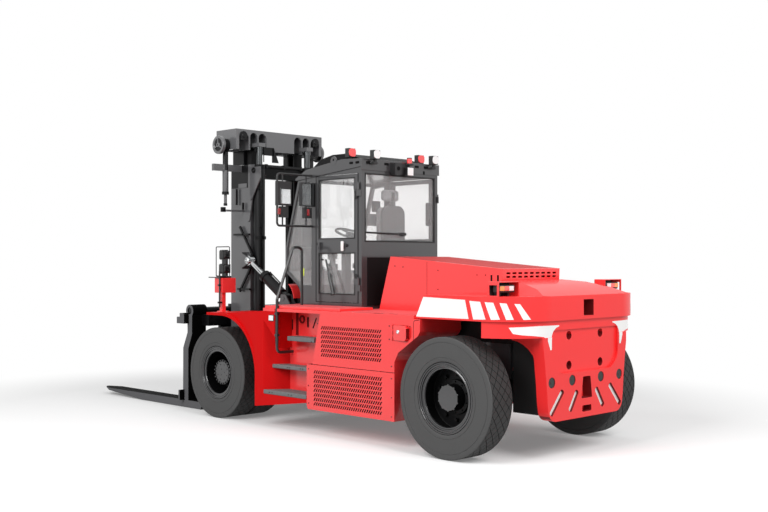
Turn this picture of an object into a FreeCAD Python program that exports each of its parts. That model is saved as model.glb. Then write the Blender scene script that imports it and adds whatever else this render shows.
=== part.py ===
"""Heavy fork lift truck with an enclosed cab, a two stage mast and dual drive wheels.

Sizes are in millimetres.  While it is modelled, X points forward from the drive axle,
Y points to the left and Z points up from the ground.  The last step shifts every part
along X, so that the finished truck stands centred on the origin.
"""
import os
from math import cos, hypot, radians, sin, sqrt

import FreeCAD
import Part

V = FreeCAD.Vector

# Overall layout
FORK_TIP_X = 3250
TAIL_X = -4764
WHEELBASE = 3916
HALF_WIDTH = 1200
X_SHIFT = -(FORK_TIP_X + TAIL_X) / 2

# Drive axle with dual wheels
FRONT_R = 566.6
FRONT_TYRE_W = 300
FRONT_OUTER_Y = 1156
DUAL_GAP = 45
FRONT_RIM_R = 330
AXLE_TUBE_R = 140
HANGER_R = AXLE_TUBE_R + 45
HANGER_GAP = 10
RUN_GAP = 5

# Steer axle with single wheels
REAR_R = 610
REAR_TYRE_W = 318
REAR_OUTER_Y = 1255.5
REAR_RIM_R = 360
KINGPIN_Y = 860
KINGPIN_R = 40
SPINDLE_R = 55
BORE_FIT = 0.1

# Chassis and body
FRAME_Y = 500
FRAME_T = 40
DECK_Z = 1412
DECK_T = 35
RECESS_Y = 940
FENDER_TOP_Z = 1320
SKIN = 30
TREAD_T = 30
RAIL_TUBE_R = 17.5
RAIL_X = -1228
RAIL_OUT = 1182
DECK_REAR_X = -3450

# Side boxes
BOX_TOP_Z = 1377
BOX_INNER_Y = 560
BOX_SEAM_Z = 806
BOX_SEAM = 6
BOX_REAR_X = -3172
FLAP_X0 = -3375
FLAP_X1 = -3155
FLAP_Z0 = 1141
FLAP_Z1 = 1303
FLAP_GAP = 3
FLAP_T = 15
FLAP_PIN_R = 5

# Hood
HOOD_HALF_W = 495
HOOD_T = 12

# Counterweight
SLAB_Z0 = 1385
SLAB_Z1 = 1626
SLAB_HALF_W = 1180
SLAB_CORNER_R = 560
CROWN_Z = 1770
TAIL_PLATE_X = -4740

# Cab
CAB_HALF_W = 650
CAB_WALL = 60
CAB_SHELL_T = 45
CAB_REAR_X = -2106
ROOF_REAR_X = CAB_REAR_X - 14
CAB_FRONT_X = -742
CAB_FLOOR_Z = 1450
DOOR_X0 = -2043
DOOR_X1 = -1316
DOOR_Z0 = 1478
DOOR_Z1 = 2985
DOOR_GAP = 6
DOOR_T = 45
GLASS_T = 6
DOOR_PIN_R = 9

# Mast
TILT_X = 0
TILT_Z = FRONT_R
RAIL_X0 = 167
RAIL_X1 = 583
RAIL_OUT_Y = 490
RAIL_WEB = 40
CHEEK_T = 16
FLANGE_Y = 330
FLANGE_T = 33
CHANNEL_X1 = 420
MAST_Z0 = 190
MAST_Z1 = 3230
INNER_GAP = 15
INNER_OUT_Y = 435
INNER_IN_Y = 300
INNER_T = 28
CROSSHEAD_X0 = 146
CROSSHEAD_X1 = 574
CROSSHEAD_Z0 = MAST_Z1 + 190
CROSSHEAD_H = 264
CROSSHEAD_Z1 = CROSSHEAD_Z0 + CROSSHEAD_H
CROSSHEAD_Y = 738
SHEAVE_Y = 850
SHEAVE_R = 119
LIFT_X = 80
LIFT_Y = 412
LIFT_R = 75
LIFT_BORE_R = 58
LIFT_ROD_R = 41
LIFT_Z0 = 835
LIFT_STROKE = 1450

# Tilt cylinders
TILT_Y = 560
TILT_EYE_X = 82
TILT_EYE_Z = 1973
TILT_FOOT_X = -647
TILT_FOOT_Z = 1500
TILT_EYE_R = 62
TILT_EYE_W = 64
TILT_PIN_R = 25
TILT_LUG_T = 16
TILT_BARREL_R = 68
TILT_ROD_R = 30
TILT_BARREL_L = 525
TILT_NECK = 100
TILT_STEM_L = 500
OPEN_EYE_GAP = 14

# Carriage and forks
FORK_SHAFT_X = 975
FORK_SHAFT_Z = 1300
FORK_SHAFT_R = 45
FORK_EYE_R = 82
CARRIAGE_X = 810
CARRIAGE_Y = 740
CARRIAGE_Z0 = 110
CARRIAGE_PLATE_Y = 260
CARRIAGE_PLATE_T = 40
ROLLER_R = 47
FORK_OUT_Y = 885
FORK_W = 230
FORK_T = 118
FORK_FACE_X = 1125
FORK_TOP_Z = 100
FORK_HEEL_X = 705
FORK_THIN_X = 2150
FORK_POINT_L = 220
FORK_LUG_W = 80

# Steering wheel and seat
SEAT_X = -1925
SEAT_Z = 1940


def box(x0, x1, y0, y1, z0, z1):
    return Part.makeBox(x1 - x0, y1 - y0, z1 - z0, V(x0, y0, z0))


def face(outline, place):
    """A flat face.  A step of the outline is a point, or an arc's middle and end points."""
    start = here = place(*outline[0])
    edges = []
    for step in outline[1:] + outline[:1]:
        if isinstance(step[0], tuple):
            middle, end = place(*step[0]), place(*step[1])
            edges.append(Part.Arc(here, middle, end).toShape())
        else:
            end = place(*step)
            edges.append(Part.LineSegment(here, end).toShape())
        here = end
    assert here.isEqual(start, 1e-6)
    return Part.Face(Part.Wire(edges))


def prism_xz(outline, y0, y1):
    return face(outline, lambda x, z: V(x, y0, z)).extrude(V(0, y1 - y0, 0))


def prism_xy(outline, z0, z1):
    return face(outline, lambda x, y: V(x, y, z0)).extrude(V(0, 0, z1 - z0))


def prism_yz(outline, x0, x1):
    return face(outline, lambda y, z: V(x0, y, z)).extrude(V(x1 - x0, 0, 0))


def arc_step(cx, cy, radius, middle, end):
    """An arc step of an outline, by its middle and end angles in degrees."""
    return tuple((cx + radius * cos(radians(a)), cy + radius * sin(radians(a)))
                 for a in (middle, end))


def rod(start, end, radius):
    line = V(*end) - V(*start)
    return Part.makeCylinder(radius, line.Length, V(*start), line)


def rod_y(x, z, y0, y1, radius):
    return rod((x, y0, z), (x, y1, z), radius)


def fuse(shapes):
    whole = shapes[0].fuse(shapes[1:]) if len(shapes) > 1 else shapes[0]
    return whole.removeSplitter()


def mirrored(shape):
    return shape.mirror(V(0, 0, 0), V(0, 1, 0))


def both(shape):
    return [shape, mirrored(shape)]


def group(shapes):
    solids = [s for shape in shapes for s in shape.Solids]
    return solids[0] if len(solids) == 1 else Part.makeCompound(solids)


def turned(outline, x, z):
    """Turns an outline of (radius, y) points about the axle line at x, z."""
    section = face(outline, lambda r, y: V(x + r, y, z))
    return section.revolve(V(x, 0, z), V(0, 1, 0), 360)


def bent_tube(points, radius, bend):
    """A round tube along straight runs joined by arcs of one bend radius."""
    pts = [V(*p) for p in points]
    edges = []
    start = pts[0]
    for before, corner, after in zip(pts, pts[1:], pts[2:]):
        a = (before - corner).normalize()
        b = (after - corner).normalize()
        half = a.getAngle(b) / 2
        reach = bend * cos(half) / sin(half)
        p = corner + a * reach
        q = corner + b * reach
        middle = corner + (a + b).normalize() * (bend / sin(half) - bend)
        edges.append(Part.LineSegment(start, p).toShape())
        edges.append(Part.Arc(p, middle, q).toShape())
        start = q
    edges.append(Part.LineSegment(start, pts[-1]).toShape())
    ring = Part.Wire(Part.makeCircle(radius, pts[0], pts[1] - pts[0]))
    return Part.Wire(edges).makePipeShell([ring], True, False)


def rounded(shape, radius, chosen):
    return shape.makeFillet(radius, [e for e in shape.Edges if chosen(e)])


def is_along(axis):
    index = "xyz".index(axis)

    def test(edge):
        box_size = edge.BoundBox
        sizes = [box_size.XLength, box_size.YLength, box_size.ZLength]
        others = [s for i, s in enumerate(sizes) if i != index]
        return sizes[index] > 1 and max(others) < 0.01
    return test


# ---------------------------------------------------------------- wheels and axles

def tyre(radius, bore, y0, y1, shoulder, x):
    outline = [(bore, y0), (radius - shoulder, y0), (radius, y0 + shoulder),
               (radius, y1 - shoulder), (radius - shoulder, y1), (bore, y1)]
    return turned(outline, x, radius)


def front_tyres():
    outer = FRONT_OUTER_Y
    inner = outer - FRONT_TYRE_W - DUAL_GAP
    return group([tyre(FRONT_R, FRONT_RIM_R, y - FRONT_TYRE_W, y, 22, 0) for y in (outer, inner)])


def front_rim():
    y1 = FRONT_OUTER_Y - 6
    y0 = FRONT_OUTER_Y - 2 * FRONT_TYRE_W - DUAL_GAP + 6
    wall = FRONT_RIM_R - 24
    disc_y = FRONT_OUTER_Y - FRONT_TYRE_W - DUAL_GAP / 2
    hub_in = FRAME_Y + 100 + RUN_GAP
    hub_out = FRONT_OUTER_Y - 90
    outline = [(SPINDLE_R + BORE_FIT, hub_in), (165, hub_in), (165, disc_y - 20),
               (wall, disc_y - 20), (wall, y0), (FRONT_RIM_R, y0), (FRONT_RIM_R, y1),
               (wall, y1), (wall, y1 - 60), (wall - 18, y1 - 75), (wall - 18, disc_y + 20),
               (205, disc_y + 20), (205, disc_y + 60), (160, disc_y + 60), (150, hub_out),
               (0, hub_out), (0, hub_in + 190), (SPINDLE_R + BORE_FIT, hub_in + 190)]
    return turned(outline, 0, FRONT_R)


def rear_tyre():
    return tyre(REAR_R, REAR_RIM_R, REAR_OUTER_Y - REAR_TYRE_W, REAR_OUTER_Y, 24, -WHEELBASE)


def rear_rim():
    y1 = REAR_OUTER_Y - 6
    y0 = REAR_OUTER_Y - REAR_TYRE_W + 6
    wall = REAR_RIM_R - 24
    disc_y = REAR_OUTER_Y - 215
    hub_out = REAR_OUTER_Y - 55
    outline = [(SPINDLE_R + BORE_FIT, disc_y - 55), (120, disc_y - 55), (150, disc_y - 15),
               (wall, disc_y - 15), (wall, y0), (REAR_RIM_R, y0), (REAR_RIM_R, y1),
               (wall, y1), (wall, y1 - 60), (wall - 18, y1 - 75), (wall - 18, disc_y + 15),
               (175, disc_y + 15), (175, disc_y + 45), (135, disc_y + 60), (125, hub_out),
               (0, hub_out), (0, disc_y + 100), (SPINDLE_R + BORE_FIT, disc_y + 100)]
    return turned(outline, -WHEELBASE, REAR_R)


def steer_knuckle():
    x = -WHEELBASE
    block = box(x - 75, x + 75, KINGPIN_Y - 60, KINGPIN_Y + 60, REAR_R - 100, REAR_R + 100)
    pin = rod((x, KINGPIN_Y, REAR_R - 175), (x, KINGPIN_Y, REAR_R + 175), KINGPIN_R)
    spindle = rod_y(x, REAR_R, KINGPIN_Y, REAR_OUTER_Y - 215 + 90, SPINDLE_R)
    return fuse([block, pin, spindle])


def drive_axle():
    tube = rod_y(0, FRONT_R, -FRAME_Y, FRAME_Y, AXLE_TUBE_R)
    bowl = Part.makeSphere(210, V(-40, 0, FRONT_R))
    bowl = bowl.common(box(-400, 400, -190, 190, 0, 900))
    ends = [rod_y(0, FRONT_R, FRAME_Y, FRAME_Y + 100, 165)]
    ends.append(rod_y(0, FRONT_R, FRAME_Y + 100, FRAME_Y + 100 + 185, SPINDLE_R))
    return fuse([tube, bowl] + ends + [mirrored(e) for e in ends])


def steer_axle():
    x = -WHEELBASE
    beam = box(x - 125, x + 125, -740, 740, REAR_R - 110, REAR_R + 110)
    parts = [beam]
    for side in (1, -1):
        for z0 in (REAR_R - 165, REAR_R + 105):
            reach = sorted([side * 700, side * (KINGPIN_Y + 62)])
            ear = box(x - 85, x + 85, reach[0], reach[1], z0, z0 + 60)
            parts.append(ear)
    beam = fuse(parts)
    for side in (1, -1):
        y = side * KINGPIN_Y
        bore = rod((x, y, REAR_R - 200), (x, y, REAR_R + 200), KINGPIN_R + BORE_FIT)
        room = rod((x, y, REAR_R - 105), (x, y, REAR_R + 105), 110)
        beam = beam.cut(bore).cut(room)
    return beam


def axle_beams():
    return group([drive_axle(), steer_axle()])


# ---------------------------------------------------------------- chassis and body

def chassis_frame():
    parts = []
    top = DECK_Z - DECK_T
    side = [(-300, 470), (-300, top), (-3330, top), (-3330, 1120), (-4150, 1120),
            (-4150, 760), (-3330, 760), (-3200, 420), (-900, 420), (-600, 470)]
    plate = prism_xz(side, FRAME_Y - FRAME_T, FRAME_Y)
    parts += both(plate)
    parts.append(box(-380, -340, -FRAME_Y, FRAME_Y, 470, top))
    parts.append(box(-1900, -1860, -FRAME_Y, FRAME_Y, 420, 1300))
    parts.append(box(-3330, -3290, -FRAME_Y, FRAME_Y, 560, 1300))
    parts.append(box(-4100, -3730, -FRAME_Y, FRAME_Y, REAR_R + 110, 770))
    parts += both(axle_bracket())
    parts += both(tilt_foot())
    return fuse(parts)


def axle_bracket():
    plate = [(0, 380), (0, 750), (-200, 1000), (-380, 1100), (-380, 480), (-200, 380)]
    arm = prism_xz(plate, 250, 310)
    ring = rod_y(0, FRONT_R, 250, 310, HANGER_R)
    return arm.fuse(ring).cut(rod_y(0, FRONT_R, 240, 320, AXLE_TUBE_R))


def deck():
    outline = [(-990, HALF_WIDTH), (DECK_REAR_X, HALF_WIDTH), (DECK_REAR_X, -HALF_WIDTH),
               (-990, -HALF_WIDTH), (-700, -FRAME_Y), (-340, -FRAME_Y), (-340, FRAME_Y),
               (-700, FRAME_Y)]
    plate = prism_xy(outline, DECK_Z - DECK_T, DECK_Z)
    for foot in both(tilt_foot_base()):
        plate = plate.cut(foot)
    return plate


def tilt_foot_base():
    return box(TILT_FOOT_X - 170, TILT_FOOT_X + 100, TILT_Y - 100, TILT_Y + 75,
               DECK_Z - DECK_T, DECK_Z)


def tilt_foot():
    lugs = []
    for y in (TILT_Y - TILT_EYE_W / 2 - 3 - TILT_LUG_T, TILT_Y + TILT_EYE_W / 2 + 3):
        lug = prism_xz([(TILT_FOOT_X - 150, DECK_Z - 10), (TILT_FOOT_X - 45, TILT_FOOT_Z + 50),
                        (TILT_FOOT_X + 45, TILT_FOOT_Z + 50),
                        (TILT_FOOT_X + 75, DECK_Z - 10)], y, y + TILT_LUG_T)
        lugs.append(lug)
    pin = rod_y(TILT_FOOT_X, TILT_FOOT_Z, TILT_Y - TILT_EYE_W / 2 - 25,
                TILT_Y + TILT_EYE_W / 2 + 25, TILT_PIN_R)
    return fuse(lugs + [tilt_foot_base(), pin])


def fender():
    cx, radius = -140, 720
    cz = FENDER_TOP_Z - radius
    inside = radius - SKIN
    panel = prism_xz([(150, cz + radius), (cx, cz + radius), arc_step(cx, cz, radius, 135, 180),
                      (cx - radius, 237), (cx - inside, 237), (cx - inside, cz),
                      arc_step(cx, cz, inside, 135, 90), (150, cz + inside)],
                     FRAME_Y + 20, HALF_WIDTH)
    well = prism_xz([(900, 0), (cx - inside, 0), (cx - inside, cz),
                     arc_step(cx, cz, inside, 135, 90), (900, cz + inside)], 0, 2000)
    sweep = prism_xy([(-200, FRAME_Y), (-200, 1150), (-870, HALF_WIDTH), (-990, HALF_WIDTH),
                      (-1180, RECESS_Y), (-1180, FRAME_Y)], 300, DECK_Z - DECK_T)
    lid = prism_xz([(-1180, 0), (-1180, DECK_Z - DECK_T), (-990, DECK_Z - DECK_T),
                    (-140, cz + radius - 4), (-140, 0)], 0, 2000)
    sweep = sweep.common(lid).cut(well)
    return fuse([panel, sweep, side_panel()])


def side_panel():
    wall = box(-1990, -1150, RECESS_Y - SKIN, RECESS_Y, 300, DECK_Z - DECK_T)
    upper = prism_xz([(-990, DECK_Z - DECK_T), (-990, 1279), (-1190, 1083), (-1215, 942),
                      (-1215, DECK_Z - DECK_T)], RECESS_Y - SKIN, HALF_WIDTH)
    skirt = prism_xz([(-850, 237), (-850, 395), (-1790, 395), (-1790, 360)],
                     HALF_WIDTH - 60, HALF_WIDTH)
    shelf = box(-1790, -850, RECESS_Y - SKIN, HALF_WIDTH - 10, 375, 395)
    return fuse([wall, upper, skirt, shelf]).cut(side_box())


def fenders():
    shape = fender().cut(rail_room()).cut(step_treads()[0])
    return group(both(shape))


def step_treads():
    treads = [box(-1762, -894, RECESS_Y, HALF_WIDTH - 5, 395, 445),
              box(-1778, -1190, RECESS_Y, 1110, 700, 745),
              box(-1790, -1313, RECESS_Y, 1100, 1035, 1088)]
    return treads


def steps_and_deck():
    plate = box(-2300, -990, CAB_HALF_W + 10, HALF_WIDTH - 30, DECK_Z, DECK_Z + TREAD_T)
    pieces = step_treads() + [plate.cut(rail_room())]
    floor = deck()
    for gap in both(rail_room()):
        floor = floor.cut(gap)
    return group([s for piece in pieces for s in both(piece)] + [floor])


def side_box():
    outline = [(-2005, BOX_TOP_Z), (-1878, BOX_SEAM_Z), (-1778, BOX_SEAM_Z - BOX_SEAM),
               (-1778, 330), (-1800, 293), (BOX_REAR_X, 293), (BOX_REAR_X, 915), (-3227, 1016),
               (-3510, 1205), (-3536, 1250), (-3536, BOX_TOP_Z)]
    whole = prism_xz(outline, BOX_INNER_Y, HALF_WIDTH)
    seam = box(-3500, -1700, HALF_WIDTH - 8, HALF_WIDTH + 8, BOX_SEAM_Z - BOX_SEAM, BOX_SEAM_Z)
    return whole.cut(seam)


def flap_axis():
    return FLAP_X1 + 9, HALF_WIDTH + 4


def flap_pocket():
    pocket = box(FLAP_X0 - FLAP_GAP, FLAP_X1 + FLAP_GAP, HALF_WIDTH - FLAP_T, HALF_WIDTH + 8,
                 FLAP_Z0 - FLAP_GAP, FLAP_Z1 + FLAP_GAP)
    grip = prism_xz([(FLAP_X0, FLAP_Z1), (FLAP_X0 - 45, FLAP_Z1 - 4), (FLAP_X0 - 45, FLAP_Z0 + 50),
                     (FLAP_X0 - 12, FLAP_Z0 + 12), (FLAP_X0, FLAP_Z0 + 6)],
                    HALF_WIDTH - FLAP_T - 10, HALF_WIDTH + 8)
    x, y = flap_axis()
    groove = rod((x, y, FLAP_Z0), (x, y, FLAP_Z1), FLAP_PIN_R + 8)
    return fuse([pocket, grip, groove])


def flap_hinge():
    x, y = flap_axis()
    pin = rod((x, y, FLAP_Z0 + 2), (x, y, FLAP_Z1 - 2), FLAP_PIN_R)
    lugs = [box(x - 5, x + 16, HALF_WIDTH - 12, y + 8, z, z + 14)
            for z in (FLAP_Z0, FLAP_Z1 - 14)]
    return fuse([pin] + lugs)


def side_boxes():
    left = side_box().cut(flap_pocket()).fuse(flap_hinge())
    return group([left, mirrored(side_box())])


def charge_door():
    outer = HALF_WIDTH + 2
    leaf = box(FLAP_X0, FLAP_X1, HALF_WIDTH - FLAP_T + 0.5, outer, FLAP_Z0, FLAP_Z1)
    lock = rod_y(FLAP_X1 - 85, FLAP_Z0 + 94, HALF_WIDTH, HALF_WIDTH + 12, 20)
    x, y = flap_axis()
    z0, z1 = FLAP_Z0 + 16, FLAP_Z1 - 16
    barrel = rod((x, y, z0), (x, y, z1), FLAP_PIN_R + 4)
    strap = box(FLAP_X1 - 20, x, outer - 1, y + FLAP_PIN_R + 3, z0, z1)
    leaf = leaf.cut(box(FLAP_X1 - 8, FLAP_X1 + 5, HALF_WIDTH - 20, outer + 5, FLAP_Z0 - 1, z0))
    leaf = leaf.cut(box(FLAP_X1 - 8, FLAP_X1 + 5, HALF_WIDTH - 20, outer + 5, z1, FLAP_Z1 + 1))
    body = fuse([leaf, lock, barrel, strap])
    return body.cut(rod((x, y, FLAP_Z0 - 5), (x, y, FLAP_Z1 + 5), FLAP_PIN_R + BORE_FIT))


def battery_block():
    return box(-3200, -1930, -430, 430, 480, 1250)


def hood():
    outline = [(-2240, DECK_Z), (-2420, 2020), (-4050, 1890), (-4036, SLAB_Z1),
               (-3590, SLAB_Z1), (-3480, DECK_Z)]
    inside = [(-2240 - 16, DECK_Z - 5), (-2420 - 8, 2020 - HOOD_T), (-4050 + HOOD_T, 1890 - HOOD_T),
              (-4036 + HOOD_T, SLAB_Z1 - 5), (-3590, SLAB_Z1 - 5), (-3485, DECK_Z - 5)]
    shell = prism_xz(outline, -HOOD_HALF_W, HOOD_HALF_W)
    shell = shell.cut(prism_xz(inside, -HOOD_HALF_W + HOOD_T, HOOD_HALF_W - HOOD_T))
    for row in range(2):
        for i in range(9):
            y = -400 + 100 * i
            slot = box(-4100, -4000, y - 33, y + 33, 1795 + 38 * row, 1815 + 38 * row)
            shell = shell.cut(slot)
    return shell


# ---------------------------------------------------------------- counterweight

def slab_prism(inset, front_x, z0, z1):
    """The plan shape of the counterweight, with its two large rear corners."""
    cx = TAIL_X + SLAB_CORNER_R
    cy = SLAB_HALF_W - SLAB_CORNER_R
    radius = SLAB_CORNER_R - inset
    side = cy + radius
    return prism_xy([(front_x, side), (cx, side), arc_step(cx, cy, radius, 135, 180),
                     (cx - radius, -cy), arc_step(cx, -cy, radius, 225, 270),
                     (front_x, -side)], z0, z1)


def counterweight_upper():
    slab = slab_prism(0, -3400, SLAB_Z0, SLAB_Z1)
    nose = prism_xz([(-3390, SLAB_Z0 - 5), (-3390, SLAB_Z1 + 5), (-3572, SLAB_Z1 + 5),
                     (-3452, SLAB_Z0 - 5)], -SLAB_HALF_W - 5, SLAB_HALF_W + 5)
    slab = slab.cut(nose).cut(box(-3600, -3300, -HOOD_HALF_W - 3, HOOD_HALF_W + 3,
                                  SLAB_Z0 - 5, SLAB_Z1 + 5))
    crown = prism_xz([(-4060, SLAB_Z1 - 20), (-4060, CROWN_Z), (-4350, CROWN_Z - 22),
                      (-4600, CROWN_Z - 78), (-4762, SLAB_Z1 + 1), (-4762, SLAB_Z1 - 20)],
                     -760, 760)
    width = prism_yz([(-760, SLAB_Z1 - 20), (-760, SLAB_Z1), (-520, CROWN_Z), (520, CROWN_Z),
                      (760, SLAB_Z1), (760, SLAB_Z1 - 20)], -4800, -4000)
    crown = crown.common(width).common(slab_prism(0, -3400, SLAB_Z0, CROWN_Z))
    slot = box(TAIL_X - 10, TAIL_X + 160, -88, 88, 1420, 1583)
    return slab.fuse(crown).cut(slot).removeSplitter()


def counterweight_lower():
    brow = slab_prism(28, -4100, 1222, SLAB_Z0)
    brow = brow.common(box(-4900, -4300, -2000, 2000, 1000, SLAB_Z0))
    core_y = FRAME_Y - FRAME_T - 2
    core = box(-4640, -3340, -core_y, core_y, 900, DECK_Z - DECK_T)
    core = core.fuse(box(-4640, DECK_REAR_X - 5, -core_y, core_y, 1300, SLAB_Z0))
    rear_core = box(-4640, -4160, -470, 470, 420, 1222)
    tail = prism_yz([(-568, 390), (568, 390), (640, 440), (664, 560), (680, 750), (710, 980),
                     (733, 1120), (733, 1222), (-733, 1222), (-733, 1120), (-710, 980),
                     (-680, 750), (-664, 560), (-640, 440)], TAIL_PLATE_X, -4610)
    whole = fuse([brow, core, rear_core, tail])
    recess = prism_yz([(-570, 1290), (570, 1290), (570, 1000), (540, 940), (440, 858),
                       (-440, 858), (-540, 940), (-570, 1000)], TAIL_PLATE_X - 10,
                      TAIL_PLATE_X + 25)
    whole = whole.cut(recess)
    for y in (-276, 276):
        for z in (929, 1228):
            whole = whole.cut(rod((TAIL_PLATE_X - 10, y, z), (TAIL_PLATE_X + 70, y, z), 44))
    for y in (-597, -253, 253, 597):
        plug = rod((TAIL_PLATE_X - 10, y, 778), (TAIL_PLATE_X + 18, y, 778), 54)
        whole = whole.cut(plug)
    for side in (1, -1):
        for a, b in (((410, 690), (617, 460)), ((164, 669), (297, 470))):
            ya, za = side * a[0], a[1]
            yb, zb = side * b[0], b[1]
            length = hypot(yb - ya, zb - za)
            ny = -(zb - za) / length * 22
            nz = (yb - ya) / length * 22
            slot = prism_yz([(ya + ny, za + nz), (yb + ny, zb + nz), (yb - ny, zb - nz),
                             (ya - ny, za - nz)], TAIL_PLATE_X - 10, TAIL_PLATE_X + 60)
            whole = whole.cut(slot)
    notch = prism_yz([(-65, 800), (65, 800), (95, 580), (-95, 580)], TAIL_PLATE_X - 10,
                     TAIL_PLATE_X + 110)
    low = box(TAIL_PLATE_X - 10, TAIL_PLATE_X + 90, -80, 80, 444, 507)
    return whole.cut(notch).cut(low)


# ---------------------------------------------------------------- lamps

def tail_lamp():
    bracket = prism_xz([(-4340, SLAB_Z1 - 4), (-4360, 1765), (-4560, 1775), (-4590, 1768),
                        (-4580, SLAB_Z1 - 4)], 800, 1030)
    bracket = bracket.common(prism_xy([(-4300, 760), (-4300, 1075), (-4420, 1060),
                                       (-4600, 925), (-4600, 800), (-4460, 780)], 1500, 1900))
    return bracket.cut(box(-4700, 0, 0, 2000, 0, SLAB_Z1))


def front_lamp():
    post = box(90, 150, 940, 1000, FENDER_TOP_Z, 1565)
    cross = box(90, 150, 640, 1040, 1562, 1752)
    stalk = box(100, 140, 955, 985, 1752, 1860)
    drum = rod((60, 970, 1900), (230, 970, 1900), 92)
    upper = rod((90, 970, 2075), (190, 970, 2075), 78)
    neck = box(120, 150, 950, 990, 1900, 2075)
    return fuse([post, cross, stalk, drum, upper, neck])


def road_lamps():
    return group(both(front_lamp()) + both(tail_lamp()))


def roof_lamp(x, y, z, foot):
    stalk = box(x - 14, x + 14, y - 14, y + 14, z - 40, z + 10)
    shell = box(x - 32, x + 32, y - 52, y + 52, z, z + 104)
    return fuse([foot, stalk, shell])


def rear_cluster():
    """Camera box, work lamp and beacon on one plate behind the roof."""
    x = ROOF_REAR_X
    plate = box(x - 12, x, -125, 190, 3000, 3130)
    camera = box(x - 75, x - 10, 80, 185, 2985, 3125)
    lamp = box(x - 70, x - 10, -120, -20, 2980, 3085)
    shelf = box(x - 75, x - 10, -125, -50, 3110, 3130)
    beacon = rod((x - 42, -88, 3130), (x - 42, -88, 3200), 30)
    return fuse([plate, camera, lamp, shelf, beacon])


def roof_lamps():
    x, y = -1850, 590
    foot = box(x - 30, x + 30, y - 25, y + 25, 3110, 3150).cut(cab_roof())
    front = roof_lamp(x, y, 3183, foot)
    front = front.cut(cab_roof())
    x, y = CAB_REAR_X - 68, 500
    foot = box(x - 14, ROOF_REAR_X, y - 30, y + 30, 3090, 3112)
    return group(both(front) + both(roof_lamp(x, y, 3145, foot)) + [rear_cluster()])


# ---------------------------------------------------------------- cab

CAB_SIDE = [(CAB_REAR_X, CAB_FLOOR_Z), (CAB_REAR_X, 3060), (-980, 2950), (CAB_FRONT_X, 2130),
            (CAB_FRONT_X, 1834), (-1000, 1649), (-1060, CAB_FLOOR_Z)]
QUARTER = [(-1227, 2925), (-1005, 2902), (CAB_FRONT_X - 35, 2122), (CAB_FRONT_X - 35, 1850),
           (-1020, 1675), (-1227, 1675)]


def inset_outline(outline, amount):
    """The outline moved inwards by one amount; it runs clockwise seen from the left."""
    result = []
    count = len(outline)
    for i in range(count):
        p, q, r = outline[i - 1], outline[i], outline[(i + 1) % count]
        a = V(q[0] - p[0], q[1] - p[1], 0).normalize()
        b = V(r[0] - q[0], r[1] - q[1], 0).normalize()
        na = V(a.y, -a.x, 0)
        nb = V(b.y, -b.x, 0)
        bisector = na + nb
        scale = 2 * amount / bisector.dot(bisector)
        result.append((q[0] + bisector.x * scale, q[1] + bisector.y * scale))
    return result


def cab_side_wall():
    wall = prism_xz(CAB_SIDE, CAB_HALF_W - CAB_WALL, CAB_HALF_W)
    opening = box(DOOR_X0, DOOR_X1, 0, 1000, DOOR_Z0, DOOR_Z1)
    quarter = prism_xz(QUARTER, 0, 1000)
    return wall.cut(opening).cut(quarter)


def cab_frame():
    shell = prism_xz(CAB_SIDE, -CAB_HALF_W, CAB_HALF_W)
    hollow = prism_xz(inset_outline(CAB_SIDE, CAB_SHELL_T), -CAB_HALF_W + CAB_WALL,
                      CAB_HALF_W - CAB_WALL)
    shell = shell.cut(hollow)
    for outline in (box(DOOR_X0, DOOR_X1, -1000, 1000, DOOR_Z0, DOOR_Z1),
                    prism_xz(QUARTER, -1000, 1000)):
        shell = shell.cut(outline)
    inner_w = CAB_HALF_W - CAB_WALL
    rear_window = box(CAB_REAR_X - 10, CAB_REAR_X + 100, -inner_w, inner_w, 2196, 2985)
    shell = shell.cut(rear_window)
    for low, high in windscreen_spans():
        shell = shell.cut(screen_prism(low, high, 80, 12, inner_w))
    roof_room = box(CAB_REAR_X + 60, -1010, -inner_w, inner_w, 2800, 3200)
    shell = shell.cut(roof_room)
    foot = box(CAB_REAR_X, -1075, -CAB_HALF_W, CAB_HALF_W, DECK_Z, CAB_FLOOR_Z)
    return fuse([shell, foot] + both(door_hinges()))


def windscreen_spans():
    return [((-980, 2950), (CAB_FRONT_X, 2130)), ((CAB_FRONT_X, 2130), (CAB_FRONT_X, 1834))]


def screen_prism(low, high, depth, margin, half_w):
    """A slab along one straight piece of the cab's front, from its face inwards."""
    a = V(low[0], 0, low[1])
    b = V(high[0], 0, high[1])
    along = (b - a).normalize()
    inward = V(along.z, 0, -along.x)
    a = a + along * margin
    b = b - along * margin
    pts = [a - inward * 20, b - inward * 20, b + inward * depth, a + inward * depth]
    return prism_xz([(p.x, p.z) for p in pts], -half_w, half_w)


def door_hinges():
    hinges = []
    for z in (1620, 2720):
        leaf = box(CAB_REAR_X + 5, DOOR_X0 + 2, CAB_HALF_W - 5, CAB_HALF_W + 22, z, z + 70)
        pin = rod((DOOR_X0 - 22, CAB_HALF_W + 18, z), (DOOR_X0 - 22, CAB_HALF_W + 18, z + 160),
                  DOOR_PIN_R)
        hinges += [leaf, pin]
    return Part.makeCompound([hinges[0].fuse(hinges[1]), hinges[2].fuse(hinges[3])])


def cab_roof():
    outline = [(ROOF_REAR_X, 3020), (ROOF_REAR_X, 3150), (-1784, 3160), (-1147, 3072),
               (-950, 2975), (-955, 2950), (-980, 2950), (CAB_REAR_X, 3060), (CAB_REAR_X, 3020)]
    panel = prism_xz(outline, -CAB_HALF_W - 15, CAB_HALF_W + 15)
    guard = prism_xz([(-1040, 3010), (-1090, 3090), (-1260, 3200), (-1470, 3242), (-1700, 3242),
                      (-1860, 3200), (-1990, 3150), (-1990, 3100), (-1147, 3050)], -525, 525)
    return panel.fuse(guard)


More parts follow.
